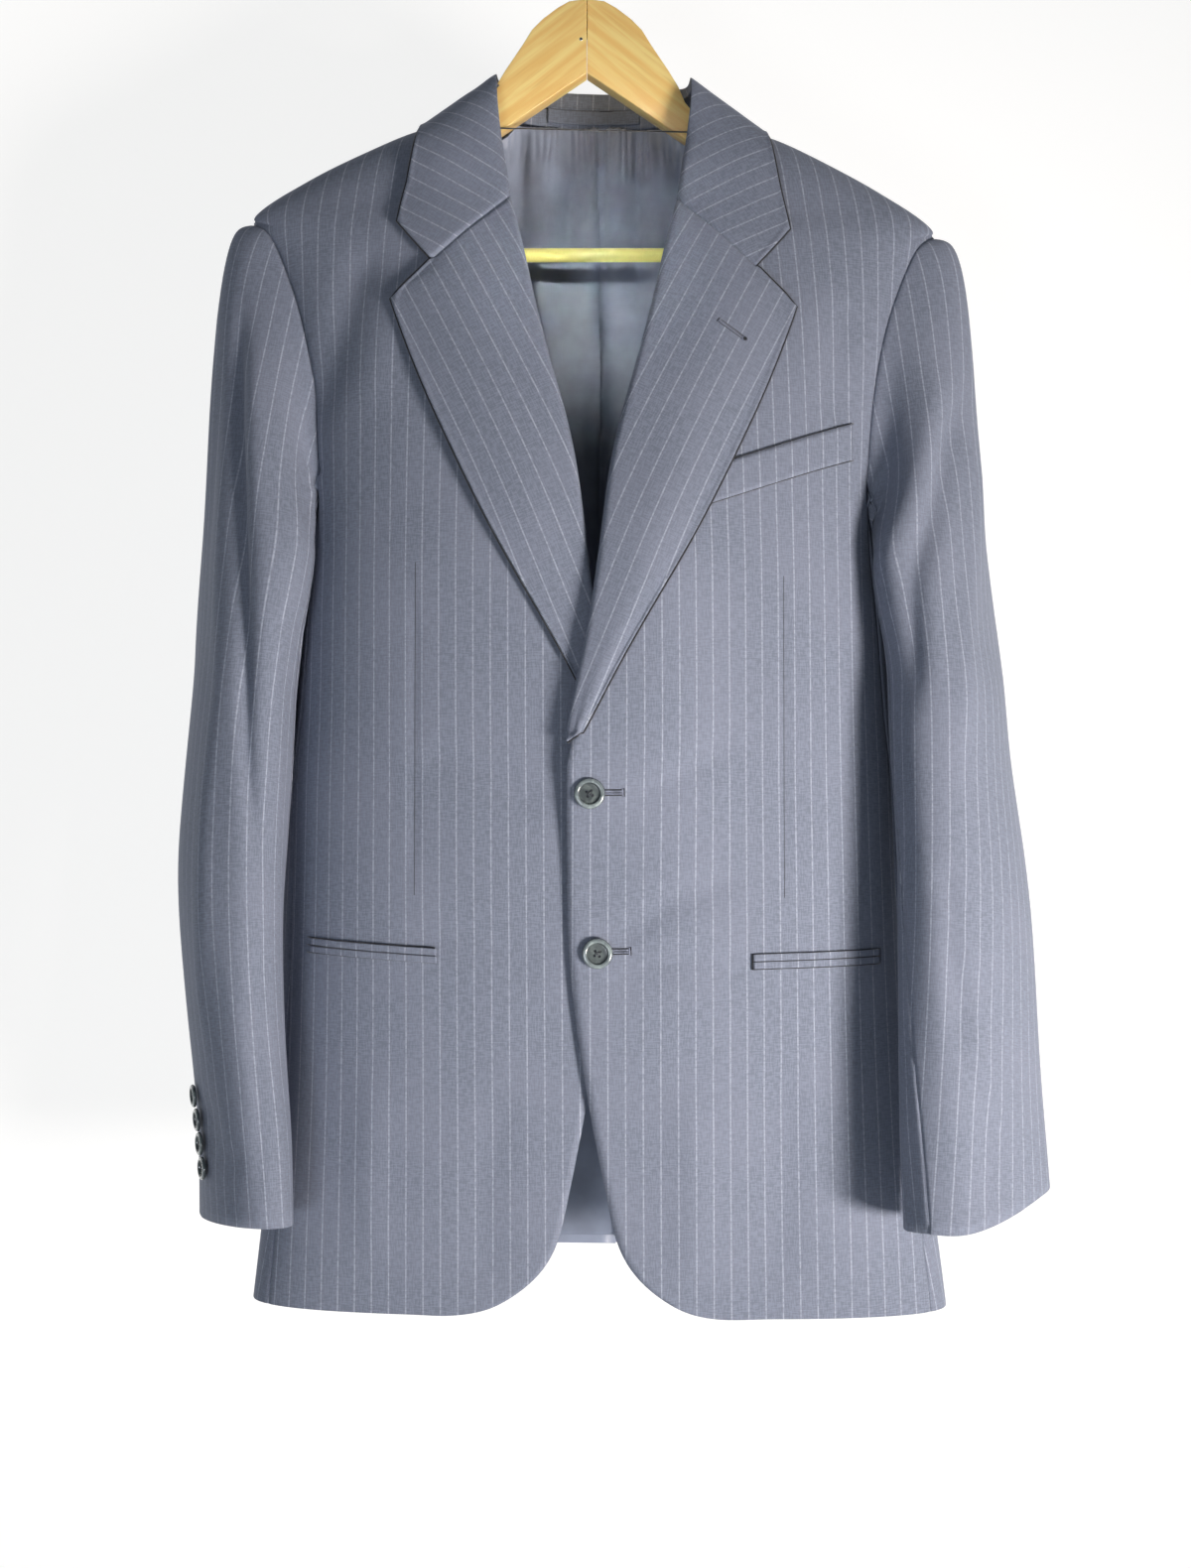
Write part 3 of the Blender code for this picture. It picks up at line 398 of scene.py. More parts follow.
closed = {}               # vertices of each piece that lie on a sewn seam
made = {}                 # finished pieces by name, for the operators that sew or lay on them


def islands(shape, limit):
    """Groups of faces that join smoothly, the largest first."""
    left, groups = set(shape.faces), []
    while left:
        queue = [left.pop()]
        group = []
        while queue:
            face = queue.pop()
            group.append(face)
            for edge in face.edges:
                if edge.is_manifold and edge.calc_face_angle() < limit:
                    near = [f for f in edge.link_faces if f in left]
                    left.difference_update(near)
                    queue += near
        groups.append(group)
    return sorted(groups, key=lambda group: -sum(f.calc_area() for f in group))


def copied_shape(node_name):
    """A welded copy of a node of the frame."""
    shape = bmesh.new()
    shape.from_mesh(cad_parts[node_name].data)
    bmesh.ops.remove_doubles(shape, verts=shape.verts[:], dist=WELD)
    return shape


def outer_skin(name, limit):
    """The shown side of a cloth wall, with the wall's back and edges taken away, as quads."""
    shape = copied_shape(name)
    kept = {v for face in islands(shape, limit)[0] for v in face.verts}
    rest = [f for f in shape.faces if not kept.issuperset(f.verts)]
    bmesh.ops.delete(shape, geom=rest, context="FACES")
    bmesh.ops.join_triangles(shape, faces=shape.faces[:], angle_face_threshold=radians(70),
                             angle_shape_threshold=radians(70), topology_influence=2.0)
    corner = shape.verts.layers.float.new("crease_vert")
    for vertex in shape.verts:
        rim = [e for e in vertex.link_edges if e.is_boundary]
        if len(rim) == 2:
            ways = [(e.other_vert(vertex).co - vertex.co) for e in rim]
            if pi - ways[0].angle(ways[1], pi) > SHARPEST_CURVE:
                vertex[corner] = 1.0
    for face in shape.faces:
        face.smooth = True
    return shape


def new_object(name, mesh_data, materials):
    for material in materials:
        mesh_data.materials.append(material)
    piece = bpy.data.objects.new(name, mesh_data)
    bpy.context.scene.collection.objects.link(piece)
    return piece


def rows_of(items, field):
    flat = np.empty(len(items) * 3, np.float32)
    items.foreach_get(field, flat)
    return flat.reshape(-1, 3).astype(float)


def points_of(mesh_data):
    return rows_of(mesh_data.vertices, "co")


def normals_of(mesh_data):
    return rows_of(mesh_data.vertex_normals, "vector")


def put_points(mesh_data, points):
    mesh_data.vertices.foreach_set("co", points.astype(np.float32).ravel())
    mesh_data.update()


def baked(piece):
    """Works the piece's modifiers into its mesh and removes them."""
    graph = bpy.context.evaluated_depsgraph_get()
    done = bpy.data.meshes.new_from_object(piece.evaluated_get(graph))
    piece.modifiers.clear()
    old, piece.data = piece.data, done
    bpy.data.meshes.remove(old)
    done.name = piece.name
    return done


def rounded(piece, levels):
    """Subdivides a coarse form so that the smooth one still passes through its points."""
    mesh_data = piece.data
    goal = points_of(mesh_data)
    smooth = piece.modifiers.new("smooth", "SUBSURF")
    smooth.levels = smooth.render_levels = levels
    smooth.boundary_smooth = "PRESERVE_CORNERS"
    for _ in range(4):
        graph = bpy.context.evaluated_depsgraph_get()
        reached = points_of(piece.evaluated_get(graph).data)[:len(goal)]
        put_points(mesh_data, points_of(mesh_data) + 0.9 * (goal - reached))
    baked(piece)


def cut_flat(piece, foot, head):
    """Unrolls the cloth into its flat cut, in metres.

    V runs from foot to head, and one stripe, at U = 0, passes through the foot.
    """
    bpy.ops.object.select_all(action="DESELECT")
    bpy.context.view_layer.objects.active = piece
    piece.select_set(True)
    piece.data.uv_layers.new(name="cut")
    bpy.ops.object.mode_set(mode="EDIT")
    bpy.ops.mesh.select_all(action="SELECT")
    bpy.ops.uv.unwrap(method="ANGLE_BASED", margin=0.0)
    bpy.ops.object.mode_set(mode="OBJECT")
    mesh_data = piece.data
    layer = mesh_data.uv_layers["cut"]
    places = np.array([d.uv for d in layer.data], float)
    corners = np.array([loop.vertex_index for loop in mesh_data.loops])
    points = points_of(mesh_data)
    starts = np.array([p.loop_start for p in mesh_data.polygons])
    counts = np.array([p.loop_total for p in mesh_data.polygons])
    after = np.arange(len(corners)) + 1
    after[starts + counts - 1] = starts
    lengths = np.linalg.norm(points[corners[after]] - points[corners], axis=1)
    spans = np.linalg.norm(places[after] - places, axis=1)
    places *= lengths.sum() / spans.sum()
    nearest = [np.linalg.norm(points - np.array(end), axis=1).argmin() for end in (foot, head)]
    ends = [places[corners == index][0] for index in nearest]
    warp = (ends[1] - ends[0]) / np.linalg.norm(ends[1] - ends[0])
    turned = (places - ends[0]) @ np.array([[warp[1], warp[0]], [-warp[0], warp[1]]])
    turned[:, 0] += points[nearest[0], 0] - foot[0]
    layer.data.foreach_set("uv", turned.astype(np.float32).ravel())


def rim_of(mesh_data):
    """The open edges of a cloth, as pairs of vertex indices."""
    used = np.bincount([loop.edge_index for loop in mesh_data.loops],
                       minlength=len(mesh_data.edges))
    pairs = np.array([e.vertices for e in mesh_data.edges])
    return pairs[used == 1]


def near_tree(points):
    tree = KDTree(len(points))
    for k, point in enumerate(points):
        tree.insert(Vector(point), k)
    tree.balance()
    return tree


def sewn(groups, reach, sink=0.8, armhole=False, give=None):
    """Sews each group of pieces to the others.

    Edges of two groups within reach of each other, in millimetres, are drawn together, and the
    cloth beside them follows. The seam sinks by so many millimetres, as a pressed one does. An
    armhole seam joins only the edges that no other seam has closed. Each group gives half of the
    way, or its own share.
    """
    pieces = [piece for group in groups for piece in group]
    points = {p.name: points_of(p.data) for p in pieces}
    rims = {p.name: rim_of(p.data) for p in pieces}
    samples = {}
    for name, rim in rims.items():
        ends = points[name][rim[:, 0]], points[name][rim[:, 1]]
        if armhole:
            rims[name] = rim = rim[round_armhole(ends[0], rim[:, 0], name)]
            ends = points[name][rim[:, 0]], points[name][rim[:, 1]]
        samples[name] = np.vstack([ends[0] * (1 - t) + ends[1] * t for t in (0, 0.25, 0.5, 0.75)])
    for group, share in zip(groups, give or [0.5] * len(groups)):
        others = [samples[p.name] for other in groups if other is not group for p in other]
        target = near_tree(np.vstack(others))
        for piece in group:
            own = points[piece.name]
            pulls = {}
            for index in np.unique(rims[piece.name]):
                place, _, distance = target.find(Vector(own[index]))
                if distance < reach * MM:
                    pulls[index] = (np.array(place) - own[index]) * share
            if not pulls:
                continue
            seam = list(pulls)
            if not armhole:
                closed.setdefault(piece.name, set()).update(seam)
            tree = near_tree(own[seam])
            ways = normals_of(piece.data)
            moved = own.copy()
            for index, point in enumerate(own):
                _, k, distance = tree.find(Vector(point))
                if distance < SEAM_SPREAD:
                    moved[index] += pulls[seam[k]] * (1 - distance / SEAM_SPREAD) ** 2
                    moved[index] -= ways[index] * sink * MM * exp(-(distance / SEAM_WIDTH) ** 2)
            put_points(piece.data, moved)


def lifted_edges(piece, lift=1.3):
    """Lets the outer edges of a folded-back piece stand a little off the cloth under them."""
    points, ways = points_of(piece.data), normals_of(piece.data)
    for index in np.unique(rim_of(piece.data)):
        if index not in closed.get(piece.name, ()):
            points[index] += ways[index] * max(-ways[index][1], 0) * lift * MM
    put_points(piece.data, points)


def set_shoulder(pieces, side, reach=30.0, out=2.0, down=4.5):
    """Lets the end of the shoulder drop a little under the sleeve's head, out and down."""
    ends = []
    for piece in pieces:
        points = points_of(piece.data)
        rim = np.unique(rim_of(piece.data))
        rim = rim[round_armhole(points[rim], rim, piece.name)]
        if len(rim):
            ends.append(points[rim[points[rim, 2].argmax()]])
    tip = max(ends, key=lambda place: place[2])
    for piece in pieces:
        points = points_of(piece.data)
        share = ramp(np.linalg.norm(points - tip, axis=1) / MM, reach, 0) ** 2
        points[:, 0] += side * out * share * MM
        points[:, 2] -= down * share * MM
        put_points(piece.data, points)


def set_cuff(pieces, drop_behind, rise_before, reach=70.0):
    """Tilts the hem of a hanging sleeve, lower behind and higher in front."""
    cloud = np.vstack([points_of(piece.data) for piece in pieces])
    foot = cloud[tape(cloud)[1] < CUFF + 30]      # the last 30 mm of the sleeve
    front = foot[:, 1].min()
    half = (foot[:, 1].max() - front) / 2
    for piece in pieces:
        points = points_of(piece.data)
        behind = ramp(points[:, 1], front, front + half)
        drop = ramp(tape(points)[1], CUFF + reach, CUFF)
        points[:, 2] += (rise_before - (rise_before + drop_behind) * behind) * drop * MM
        put_points(piece.data, points)


def round_armhole(points, indices, name):
    """Which of these rim points lie on the armhole's open edge."""
    across, height = tape(points)
    fresh = np.array([index not in closed.get(name, ()) for index in indices])
    return fresh & (height > UNDERARM - 12) & (abs(across) > ARMHOLE_INNER)


def tape(points):
    """Across and height, in millimetres, of points on the hung jacket."""
    across = (points[:, 0] - CENTRE) / MM
    return across, (points[:, 2] - WAIST.z) / MM + ASKEW * across


def off_line(across, height, route):
    """Distance of each point from a line of places, and how far along the line it lies, 0 to 1."""
    route = np.array(route, float)
    lengths = np.linalg.norm(np.diff(route, axis=0), axis=1)
    best = np.full(len(across), np.inf)
    along = np.zeros(len(across))
    done = 0.0
    for start, end, length in zip(route, route[1:], lengths):
        way = (end - start) / length
        t = (across - start[0]) * way[0] + (height - start[1]) * way[1]
        held = np.clip(t, 0, length)
        off = np.hypot(across - start[0] - held * way[0], height - start[1] - held * way[1])
        nearer = off < best
        best[nearer] = off[nearer]
        along[nearer] = (done + held[nearer]) / lengths.sum()
        done += length
    return best, along


def creased(piece, folds):
    """Presses soft troughs (negative depth) and ridges into the cloth, and a faint roll all over.

    A fold is its line of (across, height), its half width and its depth, in millimetres, on the
    front of the jacket, or on its back where the half width is negative.
    """
    mesh_data = piece.data
    points, ways = points_of(mesh_data), normals_of(mesh_data)
    across, height = tape(points)
    push = np.zeros(len(points))
    for route, width, depth in folds:
        off, along = off_line(across, height, route)
        ends = ramp(along, 0, FOLD_ENDS) * ramp(along, 1, 1 - FOLD_ENDS)
        shown = np.clip(-np.sign(width) * ways[:, 1] * 2.0, 0, 1)
        push += depth * np.exp(-(off / width) ** 2) * ends * ends * (3 - 2 * ends) * shown
    push += np.array([ROLL * noise.noise(Vector(p) / ROLL_SIZE) for p in points])
    put_points(mesh_data, points + ways * push[:, None] * MM)


def walled(piece, thickness, lined=False):
    wall = piece.modifiers.new("wall", "SOLIDIFY")
    wall.thickness = thickness
    wall.offset = -1.0
    if lined:
        wall.material_offset = 1


def cloth_piece(name, node_name, materials, foot, head, levels=3, limit=50):
    """One cut piece of cloth in place of its CAD wall."""
    shape = outer_skin(node_name, radians(limit))
    mesh_data = bpy.data.meshes.new(name)
    shape.to_mesh(mesh_data)
    shape.free()
    piece = new_object(name, mesh_data, materials)
    rounded(piece, levels)
    cut_flat(piece, foot, head)
    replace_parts(piece, node_name)
    return piece


def trim(name, material, half):
    """A small piece of cloth with its warp upright, cut about its middle."""
    middle, up = centre_of(name), Vector((0, 0, half))
    return cloth_piece(f"cloth_{name}", name, (material, material), middle - up, middle + up)


def hang_up(piece, thickness, lined=False):
    """Gives the cloth its thickness and makes it ride with the jacket."""
    walled(piece, thickness, lined)
    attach(piece, BODY)


def free_edges(piece):
    """The open edges of a cloth that no seam closes, as runs of vertex indices."""
    done = closed.get(piece.name, set())
    nearby = {}
    for a, b in rim_of(piece.data):
        if not (a in done and b in done):
            nearby.setdefault(a, []).append(b)
            nearby.setdefault(b, []).append(a)
    runs = []
    while nearby:
        start = next((v for v in nearby if len(nearby[v]) == 1), next(iter(nearby)))
        run = [start]
        while True:
            ahead = nearby.get(run[-1])
            if not ahead:
                break
            after = ahead.pop()
            nearby[after].remove(run[-1])
            run.append(after)
        for index in run:
            if index in nearby and not nearby[index]:
                del nearby[index]
        runs.append(run)
    return [run for run in runs if len(run) > 3]


def turned_edge(piece, material):
    """Lays a near-black cord of painted shade in the groove under the folded edge of a lapel or
    collar, where the edge shows.
    """
    points, ways = points_of(piece.data), normals_of(piece.data)
    shape = bmesh.new()
    for run in free_edges(piece):
        shown = [k for k in run if ways[k][1] < -0.25]
        if len(shown) > 3:
            route = [(Vector(points[k] - ways[k] * EDGE_DEPTH), Vector(ways[k])) for k in shown]
            swept(shape, route, 1.9 * MM, 1.0 * MM)
    laid(piece.name.replace("cloth", "turned_edge"), shape, material)


def match_stripes(piece, cloth):
    """Cuts a trim so that its stripes meet those of the cloth under it."""
    match = piece.modifiers.new("match", "DATA_TRANSFER")
    match.object = cloth
    match.use_loop_data = True
    match.data_types_loops = {"UV"}
    match.loop_mapping = "POLYINTERP_NEAREST"
    baked(piece)


# ---------------------------------------------------------------- turned and laid pieces

def fixed(piece):
    """Makes a hard piece or a thread ride with the jacket."""
    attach(piece, BODY)
    return piece


def smooth_mesh(name, shape):
    bmesh.ops.recalc_face_normals(shape, faces=shape.faces[:])
    for face in shape.faces:
        face.smooth = True
    mesh_data = bpy.data.meshes.new(name)
    shape.to_mesh(mesh_data)
    shape.free()
    return mesh_data


def laid(name, shape, material):
    """A finished hard piece or thread from its shape."""
    return fixed(new_object(name, smooth_mesh(name, shape), [material]))


def turned(shape, profile, steps, place):
    """Spins a profile of (radius, height) round the place's own Z."""
    corners = [shape.verts.new((radius, 0, height)) for radius, height in profile]
    edges = [shape.edges.new(pair) for pair in zip(corners, corners[1:])]
    before = set(shape.verts) - set(corners)
    bmesh.ops.spin(shape, geom=corners + edges, cent=(0, 0, 0), axis=(0, 0, 1), angle=2 * pi,
                   steps=steps, use_merge=True)
    fresh = [v for v in shape.verts if v not in before]
    bmesh.ops.remove_doubles(shape, verts=fresh, dist=0.001 * MM)
    bmesh.ops.transform(shape, matrix=place, verts=[v for v in shape.verts if v not in before])


def facing(place, normal):
    """The frame of a flat thing that lies at a place with its Z along the normal."""
    return Matrix.Translation(place) @ Vector(normal).to_track_quat("Z", "Y").to_matrix().to_4x4()


def swept(shape, route, across, out, material=0):
    """A round or flattened cord along (place, normal) pairs, so wide across and so thick out."""
    frames = []
    for k, (place, normal) in enumerate(route):
        ahead = route[min(k + 1, len(route) - 1)][0] - route[max(k - 1, 0)][0]
        ahead.normalize()
        side = ahead.cross(normal).normalized()
        normal = side.cross(ahead).normalized()
        turn = Matrix((side * across / 2, normal * out / 2, ahead * across)).transposed()
        frames.append(Matrix.Translation(place) @ turn.to_4x4())
    done = set(shape.faces)
    ring = bmesh.ops.create_circle(shape, segments=6, radius=1.0, matrix=frames[0])["verts"]
    first = last = list({e for v in ring for e in v.link_edges})
    for before, after in zip(frames, frames[1:]):
        grown = bmesh.ops.extrude_edge_only(shape, edges=last)["geom"]
        verts = [g for g in grown if isinstance(g, bmesh.types.BMVert)]
        last = [g for g in grown if isinstance(g, bmesh.types.BMEdge)]
        bmesh.ops.transform(shape, matrix=after @ before.inverted(), verts=verts)
    for end in (first, last):
        bmesh.ops.contextual_create(shape, geom=end)
    for face in shape.faces:
        if face not in done:
            face.material_index = material


class Surface:
    """The shown side of a finished piece, for laying things on."""

    def __init__(self, piece):
        graph = bpy.context.evaluated_depsgraph_get()
        self.tree = BVHTree.FromObject(piece, graph)

    def under(self, across, height, lift=0.0):
        """The point under a place on the tape, lifted by so many millimetres, and its normal."""
        place, normal = self.tree.ray_cast(at(across, height, -400), Vector((0, 1, 0)))[:2]
        if place is None:
            raise RuntimeError(f"nothing lies under {across}, {height}")
        if normal.y > 0:
            normal = -normal
        return place + normal * lift * MM, normal

    def route(self, places, lift, step):
        """Points on the cloth every few millimetres along a line of places."""
        found = []
        for (x0, h0), (x1, h1) in zip(places, places[1:]):
            count = max(int(np.hypot(x1 - x0, h1 - h0) / step), 1)
            found += [(x0 + (x1 - x0) * k / count, h0 + (h1 - h0) * k / count)
                      for k in range(count)]
        found.append(places[-1])
        return [self.under(x, h, lift) for x, h in found]


# ---------------------------------------------------------------- the pieces


def suiting():
    """The jacket's two cloths, worsted and satin, made once with its threads."""
    if "worsted_wool" not in bpy.data.materials:
        scene = bpy.context.scene
        worsted_material("worsted_wool", scene.jacket_cloth)
        worsted_material("worsted_wool_plain", scene.jacket_cloth, striped=False, tone=0.9)
        satin_material("viscose_satin", scene.jacket_lining)
        # The darkest twist, at 0.07 of the thread's tone, is a near-black cord of painted shade for
        # the grooves of seams and under turned edges.
        for name, tone in (("silk_twist", 1.0), ("navy_thread", 0.25), ("groove_wool", 0.07)):
            twist_material(name, scene.jacket_cloth.thread_colour, tone)
    return bpy.data.materials["worsted_wool"], bpy.data.materials["viscose_satin"]


# Across of one stripe that runs down each front and down the front of each sleeve.
FRONT_STRIPES = {1: 99.4, -1: -98.6}
SLEEVE_STRIPES = {1: 230.0, -1: -249.5}

# The folds of the hung jacket: a line of (across, height), half width and depth, in millimetres.
# Negative half widths lie on the back.
BODY_FOLDS = (
    (((-143, 361), (-162, 317), (-173, 282), (-188, 233)), 13, -3.4),
    (((-120, 330), (-138, 290), (-150, 240)), 14, 1.9),
    (((-115, 139), (-116, -76)), 2.6, -0.9),
    (((-20, 83), (-17, -7)), 8, 1.5),
    (((123, 139), (124, -71)), 2.6, -0.9),
    (((169, 330), (161, 278), (158, 234)), 11, -2.7),
    (((-2, -114), (52, -73), (104, -56)), 9, -1.9),
    (((4, -124), (59, -112), (110, -126)), 10, -1.7),
    (((20, -12), (50, 2), (96, 30)), 10, -1.5),
    (((-24, -20), (-70, 6), (-120, 20)), 10, -1.7),
    (((-26, -120), (-80, -100), (-130, -104)), 11, -1.3),
    (((60, -190), (66, -260), (62, -330)), 13, 1.7),
    (((120, -170), (124, -250), (118, -325)), 14, -1.7),
    (((-60, -190), (-70, -270), (-68, -335)), 14, -1.5),
    (((-140, -180), (-146, -260), (-140, -320)), 13, 1.7),
    (((90, 330), (76, 270), (92, 190)), -16, -3.0),
    (((-96, 340), (-84, 262), (-100, 196)), -16, -3.0),
    (((150, 180), (110, 90), (96, 0)), -18, -2.7),
    (((-146, 170), (-118, 80), (-90, -16)), -17, -2.8),
    (((30, 90), (60, 20), (120, -10)), -12, -1.9),
    (((-28, 70), (-66, 10), (-116, -4)), -12, -1.7),
    (((60, -110), (66, -220), (60, -320)), -16, 2.1),
    (((-70, -120), (-62, -230), (-70, -320)), -15, 1.9),
)
SLEEVE_FOLDS = {
    -1: (
        (((-239, 330), (-237, 240), (-232, 180), (-225, 96), (-220, 15), (-209, -70)), 5, -6.1),
        (((-228, 319), (-224, 240), (-218, 180), (-211, 95), (-207, 20)), 7, 2.8),
        (((-248, 260), (-245, 147), (-240, 55), (-247, -20), (-248, -190)), 8, 3.0),
        (((-257, 318), (-254, 239), (-256, 147)), 8, -1.5),
        (((-212, -90), (-208, -180), (-204, -270)), 6, -1.7),
        (((-250, -200), (-238, -232), (-214, -248)), 9, -1.9),
        (((-240, 150), (-226, 40), (-236, -50)), -9, -4.2),
        (((-256, 20), (-232, -30), (-212, -46)), -8, -3.4),
        (((-230, 300), (-222, 200), (-232, 120)), -9, 2.3),
    ),
    1: (
        (((258, 285), (237, 230), (225, 189), (208, 141), (205, 104), (203, 40)), 8, -5.7),
        (((232, 290), (219, 229), (203, 176), (195, 130)), 8, 2.5),
        (((262, 250), (255, 183), (242, 104), (236, 10)), 9, 2.7),
        (((222, -40), (228, -108), (231, -170)), 8, -2.5),
        (((214, -66), (242, -116)), 7, 1.9),
        (((236, -140), (257, -216)), 8, 1.9),
        (((250, -180), (246, -270)), 9, -1.7),
        (((240, 160), (228, 50), (238, -40)), -9, -3.8),
        (((262, 10), (236, -36), (214, -52)), -8, -3.4),
        (((236, 290), (224, 196), (234, 110)), -9, 2.3),
    ),
}

# Where the sleeve's front edge laps over the body below the armhole, as across at each height.
LAP_HEIGHTS = (-30, 0, 45, 97, 120, 150, 175, 200, 230)
LAP_ACROSS = (199, 198.5, 196.5, 191, 187, 183, 181, 180.5, 180)
LAP_WIDTH = 34.0          # how far in from its edge the sleeve gives
LAP_MOST = 14.0           # the furthest that the edge is drawn
LAP_FRONT = -18 * MM      # the edge is the innermost cloth before this depth


def lapped(pieces, side):
    """Draws the front edge of a sleeve over the side of the body."""
    clouds = [points_of(piece.data) for piece in pieces]
    every = np.vstack(clouds)
    across, height = tape(every)
    front = every[:, 1] < LAP_FRONT
    steps = np.arange(-40, 240, 8.0)
    inner = np.array([np.min(side * across[front & (abs(height - h) < 9)]) for h in steps])
    inner = np.convolve(np.pad(inner, 2, mode="edge"), np.ones(5) / 5, "valid")
    for piece, points in zip(pieces, clouds):
        across, height = tape(points)
        edge = np.interp(height, steps, inner)
        draw = np.clip(edge - np.interp(height, LAP_HEIGHTS, LAP_ACROSS), 0, LAP_MOST)
        draw *= ramp(height, -60, 0) * ramp(height, 215, 185)
        share = ramp(side * across - edge, LAP_WIDTH, 0) ** 1.5
        share *= ramp(-points[:, 1] / MM, 4, 26)
        points[:, 0] -= side * draw * share * MM
        points[:, 1] -= draw * share * 0.35 * MM
        put_points(piece.data, points)


class JACKET_OT_body(bpy.types.Operator):
    """Cut the fronts, sides and backs"""
    bl_idname = "jacket.body"
    bl_label = "Fronts, sides and backs"

    def execute(self, context):
        cloths = suiting()
        for side, name in NAMES.items():
            stripe = FRONT_STRIPES[side]
            front = cloth_piece(f"cloth_front_{name}", f"front_{name}", cloths,
                                at(stripe, -250), at(stripe, 100))
            flank = cloth_piece(f"cloth_side_{name}", f"side_{name}", cloths,
                                at(205 * side, -250, 0), at(200 * side, 60, 0))
            back = cloth_piece(f"cloth_back_{name}", f"back_{name}", cloths,
                               at(20 * side, -100, 50), at(20 * side, 250, 60))
            for piece in (front, flank, back):
                creased(piece, BODY_FOLDS)
                made[piece.name] = piece
        return {"FINISHED"}


class JACKET_OT_sleeves(bpy.types.Operator):
    """Cut the two-piece sleeves"""
    bl_idname = "jacket.sleeves"
    bl_label = "Sleeves"

    def execute(self, context):
        cloths = suiting()
        for side, name in NAMES.items():
            stripe = SLEEVE_STRIPES[side]
            top = cloth_piece(f"cloth_top_sleeve_{name}", f"top_sleeve_{name}", cloths,
                              at(stripe, -140, -90), at(stripe, 60, -60))
            under = cloth_piece(f"cloth_under_sleeve_{name}", f"under_sleeve_{name}", cloths,
                                at(205 * side, -200, -40), at(205 * side, 100, 0))
            for piece in (top, under):
                creased(piece, SLEEVE_FOLDS[side])
                made[piece.name] = piece
        return {"FINISHED"}


class JACKET_OT_collar(bpy.types.Operator):
    """Cut the lapels and the top collar"""
    bl_idname = "jacket.collar"
    bl_label = "Lapels and collar"

    def execute(self, context):
        worsted = suiting()[0]
        for side, name in NAMES.items():
            lapel = cloth_piece(f"cloth_lapel_{name}", f"lapel_{name}", (worsted, worsted),
                                at(43 * side, 125, -95), at(131 * side, 310, -75), limit=57)
            made[lapel.name] = lapel
        collar = cloth_piece("cloth_collar", "collar", (worsted, worsted),
                             at(0, 446, 61), at(0, 491, 51), limit=57)
        made[collar.name] = collar
        return {"FINISHED"}


class JACKET_OT_sewing(bpy.types.Operator):
    """Sew the cut pieces together and give them their thickness"""
    bl_idname = "jacket.sewing"
    bl_label = "Sew the seams"

    def execute(self, context):
        body = [[made[f"cloth_{part}_{name}"]] for part in ("front", "side", "back")
                for name in NAMES.values()]
        sewn(body, SEAM_GAP)
        for side, name in NAMES.items():
            sleeve = [made[f"cloth_top_sleeve_{name}"], made[f"cloth_under_sleeve_{name}"]]
            sewn([[piece] for piece in sleeve], SEAM_GAP)
            armhole = [made[f"cloth_{part}_{name}"] for part in ("front", "side", "back")]
            # Both give way at first, then the body alone, then the sleeve by its last gap.
            sewn([sleeve, armhole], 18.0, sink=1.0, armhole=True)
            sewn([sleeve, armhole], 18.0, sink=0.0, armhole=True, give=(0.0, 1.0))
            lapped(sleeve, side)
            sewn([sleeve, armhole], 26.0, sink=0.0, armhole=True, give=(0.0, 1.0))
            sewn([sleeve, armhole], 6.0, sink=0.0, armhole=True, give=(1.0, 0.0))
            set_shoulder(sleeve + armhole, side)
            set_cuff(sleeve, *CUFF_TILTS[name])
        sewn([[made["cloth_collar"]], [made["cloth_lapel_left"]], [made["cloth_lapel_right"]]],
             SEAM_GAP, sink=0.6)
        thickness = context.scene.jacket_cloth.thickness
        for name, piece in list(made.items()):
            folded = "lapel" in name or "collar" in name
            if folded:
                lifted_edges(piece)
                # A near-black cord of painted shade goes under the lifted edge.
                turned_edge(piece, bpy.data.materials["groove_wool"])
            hang_up(piece, thickness,
                    lined=not folded)
        return {"FINISHED"}


class JACKET_OT_pockets(bpy.types.Operator):
    """Lay on the breast welt and the pocket jets"""
    bl_idname = "jacket.pockets"
    bl_label = "Welt and pocket jets"

    def execute(self, context):
        worsted = suiting()[0]
        trims = [("chest_welt", 1)]
        for side, name in NAMES.items():
            trims += [(f"pocket_jet_upper_{name}", side), (f"pocket_jet_lower_{name}", side)]
        for name, side in trims:
            piece = trim(name, worsted, 2 * MM)
            match_stripes(piece, made[f"cloth_front_{NAMES[side]}"])
            hang_up(piece, 1.2 * MM)
        return {"FINISHED"}


# Soft upright folds of the lining, as across, top, bottom, half width and depth in millimetres.
LINING_FOLDS = ((-52, 470, 250, 5, -4.8), (-34, 470, 300, 8, 3.2), (-18, 470, 330, 4, -4.0),
                (4, 480, -60, 3.0, -5.2), (12, 480, 120, 8, 2.8), (31, 470, 300, 5, -4.4),
                (44, 460, 240, 8, 3.2), (62, 440, 200, 6, -3.6), (-70, 430, 150, 7, -3.2),
                (-30, 250, 20, 10, -3.2), (34, 240, 10, 10, -3.2), (-60, 100, -300, 11, -3.2),
                (60, 110, -300, 11, -3.2), (-20, 20, -320, 9, 2.4), (24, 0, -320, 9, 2.4))
GATHER_PITCH = 5.2       # of the fine gathers where the lining is eased into the neck seam
GATHER = 1.5             # and their depth
PLEAT = 6.5              # depth of the centre pleat
CLEAR = 3.0              # how much further from the back the lining hangs than its CAD wall
FURTHEST_BACK = 1.5      # and the most that a fold goes the other way


